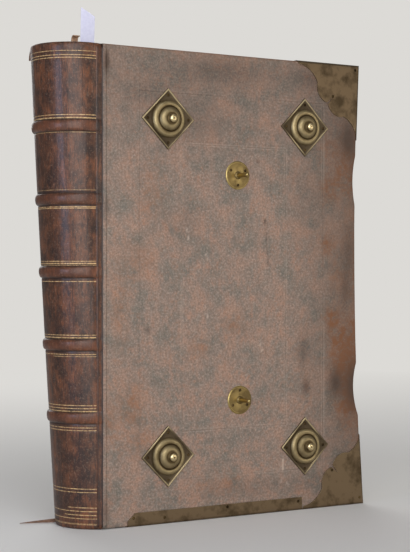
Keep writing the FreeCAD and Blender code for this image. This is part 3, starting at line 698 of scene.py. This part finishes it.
def joint_strip(side):
    """The leather over one joint, from the edge of the spine to the edge of a cover."""
    near = [0.0012 * i for i in range(-8, 9)]
    rows = graded(cap_roll, spine_head - cap_roll, 0.0030, band_heights, near)
    points = []
    for z in rows:
        row = []
        for share in strip_on_spine:
            thin = strip_lift * (0.15 if share == strip_on_spine[0] else 1.0)
            lift = spine_lift(z, spine_turn(share, z), share)
            row.append(spine_point(share, z, lift, thin))
        crease = max(cover_surface(0.0, z), -0.0003)
        row.append((joint_x - 0.0001, face_y + 0.0012 + crease, z))
        row.append((joint_x + 0.0004, face_y + 0.0003 + crease, z))
        for x in strip_on_cover:
            thin = strip_lift * (0.15 if x == strip_on_cover[-1] else 1.0)
            row.append((joint_x + x, face_y + cover_surface(x, z) - thin, z))
        points += row
    if side == "back":
        points = [(x, 2 * middle_y - y, z) for x, y, z in points]
    wide = len(strip_on_spine) + 2 + len(strip_on_cover)
    faces = [face if side == "front" else face[::-1] for face in grid(len(rows), wide)]
    piece = piece_of(side + "_joint_leather", points, faces, polished, calf)
    for face in piece.data.polygons:
        face.material_index = 0 if face.center.x < joint_x + 0.0003 else 1
    # Painted shade added to each column of the strip, most of all in the fold itself
    creased = (0.0, 0.8, 0.0, 0.2, 1.2, 0.7, 0.15, 0.0, 0.0, 0.0)
    stain(piece, "rubbed", lambda x, z: rubbed_at(max(x, 0.0), z))
    stain(piece, "dark", lambda x, z: dark_at(max(x, 0.0), z) if x > 0.0005 else 0.0)
    for i, stained in enumerate(piece.data.attributes["dark"].data):
        stained.value += creased[i % wide]
    shell = piece.modifiers.new("thickness", "SOLIDIFY")
    shell.thickness = strip_lift * 0.9
    shell.offset = -1.0
    bpy.context.view_layer.update()
    solid = bpy.data.meshes.new_from_object(piece.evaluated_get(bpy.context.evaluated_depsgraph_get()))
    piece.modifiers.clear()
    piece.data = solid
    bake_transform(piece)


joint_strip("front")
joint_strip("back")

# Torn leather: a strip of the tail cap has sprung away along the table, and a lip stands out at
# the head. Both are the spine's own leather, thin and pale where the flesh side shows.
flap_length = 0.040
flap_root_height = 0.0045
lip_low, lip_high = 0.5054, 0.5174
lip_reach = 0.0030
lip_turn = radians(38)


def tail_flap_point(along, up, across_share):
    """A point of the flap, which runs from under the tail cap out along the table."""
    root_x, root_y, _ = spine_point(0.5, 0.002, -0.0006)
    height = flap_root_height * (1 - 0.86 * along)
    wave = 0.0012 * sin(along * 3.0)
    x = root_x + 0.004 - (flap_length + 0.004) * 0.96 * along
    y = root_y + 0.28 * flap_length * along + wave + across_share * 0.0011 * (1 - 0.8 * along)
    return (x, y, 0.0004 + 0.0004 * along + height * up)


# Torn calf: the rough, paler fibres of the flesh side
torn, tree, shader = finish_of("torn_calf", {"Roughness": 0.7, "IOR": 1.5})
place = add(tree, "TexCoord").outputs["Object"]
fibre = add(tree, "TexNoise", {"Scale": 500.0, "Detail": 5.0}, {"Vector": place})
colour = add(tree, "ValToRGB", {"stops": [(0.3, "#4a3226"), (0.6, "#7c5b45"), (0.75, "#a58a70")]}, {0: fibre})
feed(shader, {"Base Color": colour})
bump = add(tree, "Bump", {"Strength": 0.5, "Distance": 0.0003}, {"Height": fibre})
feed(shader, {"Normal": bump})


def block_of(name, counts, place_at, *materials):
    """A closed piece bent from a block: place_at gives a point for three shares from 0 to 1."""
    ni, nj, nk = counts
    points, index = [], {}

    def at(i, j, k):
        if (i, j, k) not in index:
            index[i, j, k] = len(points)
            points.append(place_at(i / ni, j / nj, k / nk))
        return index[i, j, k]

    faces = []
    for j in range(nj):
        for k in range(nk):
            for i in (0, ni):
                faces.append((at(i, j, k), at(i, j + 1, k), at(i, j + 1, k + 1), at(i, j, k + 1)))
    for i in range(ni):
        for k in range(nk):
            for j in (0, nj):
                faces.append((at(i, j, k), at(i + 1, j, k), at(i + 1, j, k + 1), at(i, j, k + 1)))
    for i in range(ni):
        for j in range(nj):
            for k in (0, nk):
                faces.append((at(i, j, k), at(i + 1, j, k), at(i + 1, j + 1, k), at(i, j + 1, k)))
    piece = piece_of(name, points, faces, *materials)
    closed(piece, 40)
    return piece


flap = block_of("tail_cap_flap", (28, 2, 4), lambda a, b, c: tail_flap_point(a, c, b - 0.5), torn)
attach(flap, "book_block")


def head_lip_point(out, side, up):
    """A point of the lip, which stands out from the spine below the head cap."""
    z = lip_low + (lip_high - lip_low) * up
    reach = lip_reach * (1 - 0.75 * up) * out
    share = lip_turn / spine_turn(1.0, z)
    x, y, _ = spine_point(share + 0.014 * side, z, -0.0008)
    curl = 0.0010 * out * sin(up * pi)
    return (x - cos(lip_turn) * (reach + 0.0008), y + sin(lip_turn) * (reach + 0.0008) + curl, z)


lip = block_of("head_cap_lip", (6, 2, 12), head_lip_point, torn)
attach(lip, "book_block")

# Leaves: about a thousand sheets of rag paper, sewn in gatherings and trimmed with a plough.
# One block, with the edges of its gatherings a little uneven and dusty at the head.
leaves_low, leaves_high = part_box("text_block")
flyleaf_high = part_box("front_flyleaf")[1]
leaf_width = flyleaf_high.x - joint_x
leaf_face = flyleaf_high.y
leaf_columns = 36
leaf_tail, leaf_head = leaves_low.z, leaves_high.z
fore_edge_hollow = 0.026
gathering = 0.0031
glue_gap = 0.0001
sheets = 190
leaf_rows = 26


def leaves_point(along, through, up):
    """A point of the block: the first column lies on the rounded back, the last on the fore-edge."""
    share = 2 * through - 1
    half = middle_y - leaf_face
    from_middle = half * share
    y = middle_y + from_middle
    z = leaf_tail + (leaf_head - leaf_tail) * up
    hollow_radius = (half**2 + fore_edge_hollow**2) / (2 * fore_edge_hollow)
    fore_x = leaf_width + hollow_radius - fore_edge_hollow - sqrt(hollow_radius**2 - from_middle**2)
    uneven = 0.00022 * noise.noise(Vector((y * 4000, 0.3, 0)))
    uneven += 0.00012 * noise.noise(Vector((y / gathering, 5, 0)))
    if along == 1.0:
        fore_x += uneven - 0.0002 + 0.0003 * noise.noise(Vector((y / gathering, z * 20, 0)))
    if up in (0.0, 1.0):
        z += (uneven - 0.0003) * (1 if up else -1)
    if along == 0.0:
        centre, radius = back_circle(bulge_at(z), joint_depth)
        radius -= leather_thickness + glue_gap
        turn = share * acos((centre + spine_gap) / radius)
        return (joint_x + centre - radius * cos(turn), middle_y + radius * sin(turn), z)
    run = (along * leaf_columns - 1) / (leaf_columns - 1)
    return (joint_x - spine_gap + (fore_x + spine_gap) * run, y, z)


# Rag paper edge: cream gone brown, with the lines of single leaves 0.2 mm apart drawn at 0.4 mm
paper_edge, tree, shader = finish_of("aged_paper_edge", {"Roughness": 0.85, "IOR": 1.5})
place = add(tree, "TexCoord").outputs["Object"]
layered = add(tree, "Mapping", {"Scale": (0.02, 1.0, 0.02)}, {"Vector": place})
lines = add(tree, "TexNoise", {"Scale": 2400.0, "Detail": 2.0}, {"Vector": layered})
dirt = add(tree, "TexNoise", {"Scale": 30.0, "Detail": 6.0, "Roughness": 0.65}, {"Vector": place})
cream = add(tree, "ValToRGB", {"stops": [(0.30, "#b7a27c"), (0.60, "#d9caa6")]}, {0: dirt})
line_share = add(tree, "MapRange", {"From Min": 0.40, "From Max": 0.68, "To Max": 0.75}, {"Value": lines})
lined = add(tree, "Mix", {7: "#7d6847"}, {0: line_share, 6: cream})
height = add(tree, "SeparateXYZ", {}, {0: place})
near_head = {"From Min": leaf_head - 0.03, "From Max": leaf_head, "To Max": 0.45}
dust = add(tree, "MapRange", near_head, {"Value": height.outputs["Z"]})
dusted = add(tree, "Mix", {7: "#6b5b47"}, {0: dust, 6: lined})
feed(shader, {"Base Color": dusted})
bump = add(tree, "Bump", {"Strength": 0.6, "Distance": 0.0003}, {"Height": lines})
feed(shader, {"Normal": bump})

leaves = block_of("leaf_block", (leaf_columns, sheets, leaf_rows), leaves_point, paper_edge)
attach(leaves, "book_block")
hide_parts("text_block")

# Flyleaves and pastedowns: single sheets of the same rag paper, gone brown in clouds and spots.
# The flyleaves are sewn in with the block, and the pastedowns are pasted over the turned-in leather.


def paint(node_name, material):
    """Give a solid of the frame its real material."""
    materials = frame["nodes"][node_name].data.materials
    materials.clear()
    materials.append(material)


# Foxed rag paper: warm cream and matt, with small brown spots
sheet_paper, tree, shader = finish_of("foxed_rag_paper", {"Roughness": 0.8, "IOR": 1.5})
place = add(tree, "TexCoord").outputs["Object"]
tone = add(tree, "TexNoise", {"Scale": 12.0, "Detail": 6.0, "Roughness": 0.6}, {"Vector": place})
ground = add(tree, "ValToRGB", {"stops": [(0.35, "#cdb98f"), (0.65, "#ddceaa")]}, {0: tone})
foxing = add(tree, "TexVoronoi", {"Scale": 55.0, "Randomness": 1.0}, {"Vector": place})
fox_share = add(tree, "MapRange", {"From Min": 0.16, "From Max": 0.02, "To Max": 0.5}, {"Value": foxing})
foxed = add(tree, "Mix", {7: "#8f6a3c"}, {0: fox_share, 6: ground})
# Laid lines 1.2 mm apart from the mould's wires
laid = add(tree, "TexWave", {"Scale": 130.0, "bands_direction": "Z", "Distortion": 0.6}, {"Vector": place})
laid_share = add(tree, "MapRange", {"To Max": 0.10}, {"Value": laid.outputs["Fac"]})
ruled = add(tree, "Mix", {7: "#a8936a"}, {0: laid_share, 6: foxed})
feed(shader, {"Base Color": ruled})
bump = add(tree, "Bump", {"Strength": 0.2, "Distance": 0.0002}, {"Height": laid.outputs["Fac"]})
feed(shader, {"Normal": bump})
for name in ("front_flyleaf", "back_flyleaf", "front_pastedown", "back_pastedown"):
    paint(name, sheet_paper)

# Boards and cords: quartered oak boards, and hemp cords whose frayed ends are laced into them.
# Both are hidden by the leather and the pastedowns.

# Quartered oak: straight upright grain in two browns, planed smooth
oak, tree, shader = finish_of("quartered_oak", {"Roughness": 0.6, "IOR": 1.5})
place = add(tree, "TexCoord").outputs["Object"]
grain_run = add(tree, "Mapping", {"Scale": (1.0, 1.0, 0.05)}, {"Vector": place})
rings = add(tree, "TexNoise", {"Scale": 180.0, "Detail": 5.0}, {"Vector": grain_run})
wood = add(tree, "ValToRGB", {"stops": [(0.35, "#6b4a2c"), (0.62, "#a17b4e")]}, {0: rings})
feed(shader, {"Base Color": wood})
# Hemp: dull straw-coloured strands, twisted
hemp, tree, shader = finish_of("twisted_hemp_cord", {"Roughness": 0.85, "IOR": 1.5})
place = add(tree, "TexCoord").outputs["Object"]
twisted = {"Scale": 160.0, "bands_direction": "DIAGONAL", "Distortion": 2.0}
strands = add(tree, "TexWave", twisted, {"Vector": place})
twist = add(tree, "ValToRGB", {"stops": [(0.2, "#8d744d"), (0.8, "#c8b285")]}, {0: strands.outputs["Fac"]})
feed(shader, {"Base Color": twist})
for name in frame["nodes"]:
    if name.endswith("_board"):
        paint(name, oak)
    if name.startswith("sewing_cord") or name.endswith("_cord_slips"):
        paint(name, hemp)

# Endbands: a cord at the head and the tail of the back, wound with two colours of linen thread
# that is sewn down through the gatherings.
thread_turns = 70
band_radius = 0.0022
thread_depth = 0.00022
steps_per_turn = 6
turns_per_colour = 3


def endband(node_name, name):
    """A wound cord that follows the rounded back behind the leather."""
    low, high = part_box(node_name)
    z = (low.z + high.z) / 2
    centre, radius = back_circle(bulge_at(z), joint_depth)
    path = radius - leather_thickness - glue_gap - band_radius
    limit = acos((centre + spine_gap) / path)
    steps, ring = thread_turns * steps_per_turn, 10
    points = []
    for i in range(steps + 1):
        turn = limit * (2 * i / steps - 1)
        for k in range(ring):
            around = tau * k / ring
            thick = band_radius - thread_depth * (0.5 - 0.5 * cos(tau * i / steps_per_turn + around))
            reach = path + thick * cos(around)
            x, y = joint_x + centre - reach * cos(turn), middle_y + reach * sin(turn)
            points.append((x, y, z + thick * sin(around)))
    faces = [
        (i * ring + k, i * ring + (k + 1) % ring, (i + 1) * ring + (k + 1) % ring, (i + 1) * ring + k)
        for i in range(steps)
        for k in range(ring)
    ]
    faces += [tuple(range(ring))[::-1], tuple(steps * ring + k for k in range(ring))]
    piece = piece_of(name, points, faces, linen)
    colour_steps = steps_per_turn * turns_per_colour
    store(piece, "thread", [float(i // colour_steps % 2) for i in range(steps + 1) for _ in range(ring)])
    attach(piece, "book_block")
    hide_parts(node_name)


# Linen thread: soft and dull, undyed and faded blue in turn
linen, tree, shader = finish_of("wound_linen_thread", {"Roughness": 0.8, "IOR": 1.5})
thread = add(tree, "Attribute", {"attribute_name": "thread"}).outputs["Fac"]
colours = add(tree, "ValToRGB", {"stops": [(0.45, "#b59f78"), (0.55, "#5d6266")]}, {0: thread})
feed(shader, {"Base Color": colours})
endband("head_endband", "head_band")
endband("tail_endband", "tail_band")

# Bosses: cast brass, turned on a lathe to a ring, a dome and a knob, and let go dull and dark.
# Each sits on a square plate with a raised rim, held by four small nails.
boss_radius, boss_height = 0.0207, 0.0144
knob_foot = 0.0112
plate_side, plate_field, plate_rim = 0.0475, 0.0011, 0.0019


def bowed(p, q, bow, steps=6):
    """Points of an arc between two profile points that stands out by the bow from its chord."""
    run, rise = q[0] - p[0], q[1] - p[1]
    chord = hypot(run, rise)
    out = []
    for i in range(1, steps + 1):
        t = i / steps
        swell = bow * 4 * t * (1 - t)
        out.append((p[0] + run * t + swell * rise / chord, p[1] + rise * t - swell * run / chord))
    return out


def proud_at(radius, height):
    """Where hands and cloths have kept the brass bright: the ring's crest, the dome's and the knob."""
    if height > knob_foot:
        return 1.0
    ring, dome = ((radius - 0.0175) / 0.0022) ** 2, ((radius - 0.0095) / 0.0022) ** 2
    return 0.20 * exp(-ring) + 0.15 * exp(-dome)


def deep_at(radius, height):
    """Where dirt has gathered: the groove inside the ring, the neck and the dimple."""
    if height >= knob_foot:
        return 1.0 if radius < 0.0009 else 0.0
    groove, neck = ((radius - 0.0140) / 0.0006) ** 2, ((radius - 0.0048) / 0.0016) ** 2
    return 0.7 * exp(-groove) + 0.9 * exp(-neck)


def turned_piece(name, profile, x, z, material, segments=72):
    """A lathe-turned piece that stands out from the front face at a place."""
    points, faces = [], []
    for i in range(segments):
        turn = tau * i / segments
        for radius, height in profile:
            points.append((x + radius * cos(turn), face_y - height, z + radius * sin(turn)))
    count = len(profile)
    for i in range(segments):
        k = (i + 1) % segments
        for j in range(count - 1):
            faces.append((i * count + j, k * count + j, k * count + j + 1, i * count + j + 1))
    piece = piece_of(name, points, faces, material)
    closed(piece, 38, merge=0.00001)
    reach = [(hypot(v.co.x - x, v.co.z - z), face_y - v.co.y) for v in piece.data.vertices]
    store(piece, "proud", [proud_at(radius, height) for radius, height in reach])
    store(piece, "deep", [deep_at(radius, height) for radius, height in reach])
    return piece


def mirror_to_back(piece):
    """Turn a piece made on the front cover into its twin on the back cover."""
    for vertex in piece.data.vertices:
        vertex.co.y = 2 * middle_y - vertex.co.y
    piece.data.flip_normals()


def brass(name, bare, tarnish, tarnish_share, thinnest, roughness):
    """Old brass: yellow metal under a thin brown tarnish, rubbed bright where it stands proud."""
    made, tree, shader = finish_of(name, {"Metallic": 1.0, "Roughness": roughness})
    place = add(tree, "TexCoord").outputs["Object"]
    film = add(tree, "TexNoise", {"Scale": 60.0, "Detail": 7.0, "Roughness": 0.6}, {"Vector": place})
    start = 0.62 - 0.3 * tarnish_share
    cover = {"From Min": start, "From Max": start + 0.2, "To Min": thinnest, "To Max": 0.95}
    film_share = add(tree, "MapRange", cover, {"Value": film})
    proud = add(tree, "Attribute", {"attribute_name": "proud"}).outputs["Fac"]
    deep = add(tree, "Attribute", {"attribute_name": "deep"}).outputs["Fac"]
    kept = add(tree, "Math", {"operation": "SUBTRACT", "use_clamp": True}, {0: film_share, 1: proud})
    filled = add(tree, "Math", {"operation": "ADD", "use_clamp": True}, {0: kept, 1: deep})
    colour = add(tree, "Mix", {6: bare, 7: tarnish}, {0: filled})
    rough = add(tree, "MapRange", {"To Min": roughness, "To Max": roughness + 0.25}, {"Value": filled})
    feed(shader, {"Base Color": colour, "Roughness": rough})
    dents = add(tree, "TexNoise", {"Scale": 90.0, "Detail": 3.0}, {"Vector": place})
    bump = add(tree, "Bump", {"Strength": 0.10, "Distance": 0.0008}, {"Height": dents})
    feed(shader, {"Normal": bump})
    return made


# The cast bosses still show bright brass on their crests. The plates are dull all over.
cast_brass = brass("tarnished_cast_brass", "#d2bf92", "#5e4f36", 0.5, 0.72, 0.32)
plate_brass = brass("tarnished_plate_brass", "#bbaa86", "#5a4d3c", 0.5, 0.85, 0.40)

boss_profile = [(boss_radius, plate_field), (boss_radius, 0.0021)]
boss_profile += bowed((boss_radius, 0.0021), (0.0167, 0.0052), 0.0008, 7)
boss_profile += bowed((0.0167, 0.0052), (0.0144, 0.0050), -0.0002, 3)
boss_profile += [(0.0139, 0.0043), (0.0138, 0.0043)]
boss_profile += bowed((0.0138, 0.0043), (0.0066, 0.0089), 0.0015, 10)
boss_profile += [(0.0063, 0.0090), (0.0056, 0.0089)]
boss_profile += bowed((0.0056, 0.0089), (0.0032, 0.0108), -0.0005, 4)
boss_profile += bowed((0.0032, 0.0108), (0.0028, 0.0142), 0.0014, 8)
boss_profile += [(0.0024, boss_height), (0.0011, boss_height)]
boss_profile += [(0.0008, boss_height - 0.0006), (0.0, boss_height - 0.0008)]


def boss_plate(name, x, z):
    """A square plate stood on its corner: a raised wire-like rim round a flat field."""
    half = plate_side / 2
    edge = [0.0, 0.0003, 0.0008, 0.0013, 0.0018, 0.0024]
    lines = [-half + d for d in edge]
    lines += [-half + 0.0024 + (2 * half - 0.0048) * i / 12 for i in range(1, 12)]
    lines += [half - d for d in edge[::-1]]
    count = len(lines)
    points = []
    for a in lines:
        for b in lines:
            inward = min(half - abs(a), half - abs(b))
            rim = plate_rim * sqrt(min(1.0, 0.45 + inward / 0.0008)) if inward < 0.0013 else plate_rim
            slope = min(1.0, max(0.0, (inward - 0.0013) / 0.0011))
            height = rim + (plate_field - plate_rim) * slope
            height += 0.00012 * noise.noise(Vector((a * 90, b * 90, x * 50 + z * 31)))
            points.append((x + (a - b) * sqrt(0.5), face_y - height, z + (a + b) * sqrt(0.5)))
    faces = grid(count, count)
    border = [i * count for i in range(count)] + [(count - 1) * count + j for j in range(1, count)]
    border += [i * count + count - 1 for i in range(count - 2, -1, -1)] + list(range(count - 2, 0, -1))
    floor_ring = []
    for index in border:
        floor_ring.append(len(points))
        points.append((points[index][0], face_y, points[index][2]))
    for i in range(len(border)):
        k = (i + 1) % len(border)
        faces.append((border[i], floor_ring[i], floor_ring[k], border[k]))
    faces.append(tuple(floor_ring))
    piece = piece_of(name, points, faces, plate_brass)
    closed(piece, 42)
    depth = [face_y - v.co.y for v in piece.data.vertices]
    share = [eased(d, plate_field + 0.0003, plate_rim - 0.0001) for d in depth]
    worn = [0.55 + 1.5 * noise.noise(v.co * 42) for v in piece.data.vertices]
    store(piece, "proud", [a * max(0.0, b) for a, b in zip(share, worn)])
    store(piece, "deep", [0.1 * (1 - a) for a in share])
    return piece


for side in ("front", "back"):
    for number in range(1, 5):
        node_name = f"{side}_boss_{number}"
        low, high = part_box(node_name)
        x, z = (low.x + high.x) / 2, (low.z + high.z) / 2
        boss = turned_piece(f"{side}_turned_boss_{number}", boss_profile, x, z, cast_brass)
        plate = boss_plate(f"{side}_rimmed_plate_{number}", x, z)
        for piece, replaced in ((boss, node_name), (plate, f"{side}_boss_plate_{number}")):
            if side == "back":
                mirror_to_back(piece)
            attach(piece, side + "_cover")
            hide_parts(replaced)

# Clasp pins: brighter brass, a thin disc with three nails and a long turned pin with a rounded
# tip, which is riveted through the disc.

# Yellow brass kept bright by rubbing, with little tarnish
bright_brass = brass("rubbed_yellow_brass", "#ad9862", "#746240", 0.4, 0.15, 0.3)
disc_radius, disc_thickness = 0.0160, 0.0013
disc_profile = [(0.0016, disc_thickness), (0.0140, disc_thickness), (0.0148, disc_thickness)]
disc_profile += bowed((0.0148, disc_thickness), (disc_radius, 0.0005), 0.0002, 3)
disc_profile += [(disc_radius, 0.0), (0.0016, 0.0)]
pin_height, pin_root, pin_tip = 0.0215, 0.0030, 0.00235
pin_profile = [(0.0015, 0.0013), (0.0046, 0.0013)]
pin_profile += bowed((0.0046, 0.0013), (pin_root, 0.0027), 0.0003, 4)
pin_profile += bowed((pin_root, 0.0027), (pin_tip, 0.0053), -0.0001, 3)
tip_turns = (0.0, 0.3, 0.6, 0.9, 1.15, 1.35, pi / 2)
pin_profile += [(pin_tip * cos(turn), pin_height - pin_tip * (1 - sin(turn))) for turn in tip_turns]
for level in ("lower", "upper"):
    low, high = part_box("clasp_plate_" + level)
    x, z = (low.x + high.x) / 2, (low.z + high.z) / 2
    disc = turned_piece("clasp_disc_" + level, disc_profile, x, z, bright_brass)
    pin = turned_piece("clasp_stud_" + level, pin_profile, x, z, bright_brass, 40)
    for piece, replaced in ((disc, "clasp_plate_" + level), (pin, "clasp_pin_" + level)):
        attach(piece, "front_cover")
        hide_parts(replaced)

# Corner pieces and tail strips: sheet brass cut to an outline, bent over the edge of the board
# and nailed. Their edges are filed round and catch the light.
sheet_bevel = 0.0006

# Sheet brass gone dull brown; its filed edges are paler, partly rubbed metal and partly a painted highlight
dull_brass = brass("tarnished_sheet_brass", "#7c6a53", "#5a4b37", 0.5, 0.15, 0.45)
edge_brass_and_highlight = brass("rubbed_sheet_edge", "#d0c2a8", "#a08c70", 0.3, 0.15, 0.45)


def sheet_from(node_name, name):
    """A solid's shape as sheet metal with filed edges."""
    piece = bpy.data.objects.new(name, frame["nodes"][node_name].data.copy())
    bpy.context.scene.collection.objects.link(piece)
    tidy = bmesh.new()
    tidy.from_mesh(piece.data)
    bmesh.ops.remove_doubles(tidy, verts=tidy.verts, dist=0.00001)
    bmesh.ops.dissolve_limit(tidy, angle_limit=radians(1.0), verts=tidy.verts, edges=tidy.edges)
    tidy.to_mesh(piece.data)
    tidy.free()
    piece.data.materials.clear()
    for material in (dull_brass, edge_brass_and_highlight):
        piece.data.materials.append(material)
    piece.data.polygons.foreach_set("use_smooth", [True] * len(piece.data.polygons))
    piece.data.set_sharp_from_angle(angle=radians(40))
    bevel = piece.modifiers.new("filed_edge", "BEVEL")
    bevel.width = sheet_bevel
    bevel.segments = 2
    bevel.limit_method = "ANGLE"
    bevel.angle_limit = radians(40)
    bevel.harden_normals = True
    # The bevel takes the pale edge finish: rubbed brass with a painted highlight
    bevel.material = 1
    return piece


sheet_names = {
    "head_corner": "head_corner_sheet", "tail_corner": "tail_corner_sheet", "tail_strip": "tail_edge_sheet",
}
for side in ("front", "back"):
    for part, worked in sheet_names.items():
        piece = sheet_from(f"{side}_{part}", f"{side}_{worked}")
        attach(piece, side + "_cover")
        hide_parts(f"{side}_{part}")

# Nails: small brass nails with domed heads. They are driven through holes in the furniture
# into the boards.

# Dark brown brass, heavily tarnished
nail_brass = brass("dark_nail_brass", "#6e5a3a", "#30261a", 0.7, 0.3, 0.45)
for name in frame["nodes"]:
    if name.endswith("_nails"):
        paint(name, nail_brass)

# Paper slip: a strip of modern white paper, cut askew at the top with scissors. It is only laid
# between the leaves and stands out at the head.
slip_low, slip_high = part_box("paper_slip")
slip_width = 0.017
slip_slant = 0.0088
slip_lean = (slip_high.x - slip_low.x) - slip_width

# Note paper: white against the brown leather, with a faint fibre; its bluish tint is painted cool light
slip_sheet, tree, shader = finish_of("white_note_paper", {"Roughness": 0.7, "IOR": 1.5})
place = add(tree, "TexCoord").outputs["Object"]
pulp = add(tree, "TexNoise", {"Scale": 300.0, "Detail": 4.0}, {"Vector": place})
white = add(tree, "ValToRGB", {"stops": [(0.3, "#cbcbe0"), (0.7, "#d6d6e8")]}, {0: pulp})
feed(shader, {"Base Color": white})


def slip_point(along, through, up):
    """A point of the slip, which leans, bows a little and is cut off at a slant."""
    length = slip_high.z - slip_low.z
    z = slip_low.z + length * up - slip_slant * up * along
    x = slip_low.x + slip_lean * up + slip_width * along
    bow = 0.0010 * sin(along * pi) * up * up - 0.0035 * max(0.0, up - 0.55) ** 2
    return (x, slip_low.y + 0.0001 + 0.0002 * through - bow * 0.4, z)


slip = block_of("note_slip", (10, 1, 36), slip_point, slip_sheet)
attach(slip, "book_block")
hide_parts("paper_slip")

# Leather marker: a strip of alum-tawed skin laid between the leaves to keep a place. Its end,
# above them, has dried into a curl.
tab_low, tab_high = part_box("leather_marker")
tab_thickness = 0.0012
tab_curl = 0.0036

# Tawed skin: creamy tan, soiled where fingers have held it
tawed, tree, shader = finish_of("dried_tawed_skin", {"Roughness": 0.75, "IOR": 1.5})
place = add(tree, "TexCoord").outputs["Object"]
skin = add(tree, "TexNoise", {"Scale": 260.0, "Detail": 5.0, "Roughness": 0.65}, {"Vector": place})
base = add(tree, "ValToRGB", {"stops": [(0.32, "#5a4233"), (0.52, "#96745b"), (0.70, "#b89474")]}, {0: skin})
height = add(tree, "SeparateXYZ", {}, {0: place})
handled = {"From Min": tab_high.z - 0.006, "From Max": tab_high.z - 0.016, "To Max": 0.75}
dirt = add(tree, "MapRange", handled, {"Value": height.outputs["Z"]})
soiled = add(tree, "Mix", {7: "#3a2a20"}, {0: dirt, 6: base})
feed(shader, {"Base Color": soiled})
bump = add(tree, "Bump", {"Strength": 0.5, "Distance": 0.0004}, {"Height": skin})
feed(shader, {"Normal": bump})


def tab_point(across_share, through, along):
    """A point of the marker, which runs straight up out of the leaves and then curls over."""
    straight = tab_high.z - tab_curl - tab_thickness - tab_low.z
    curl_length = tab_curl * pi * 0.62
    run = along * (straight + curl_length)
    inner = tab_high.y - tab_thickness
    offset = tab_thickness * through
    width = (tab_high.x - tab_low.x) * (1 - 0.12 * along)
    x = tab_low.x + width * across_share + 0.0004 * noise.noise(Vector((along * 8, across_share * 3, 0)))
    if run <= straight:
        return (x, inner + offset, tab_low.z + run)
    turn = (run - straight) / tab_curl
    reach = tab_curl + offset
    return (x, inner - tab_curl + reach * cos(turn), tab_low.z + straight + reach * sin(turn))


tab = block_of("curled_marker", (6, 1, 44), tab_point, tawed)
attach(tab, "book_block")
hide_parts("leather_marker")

low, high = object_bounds()
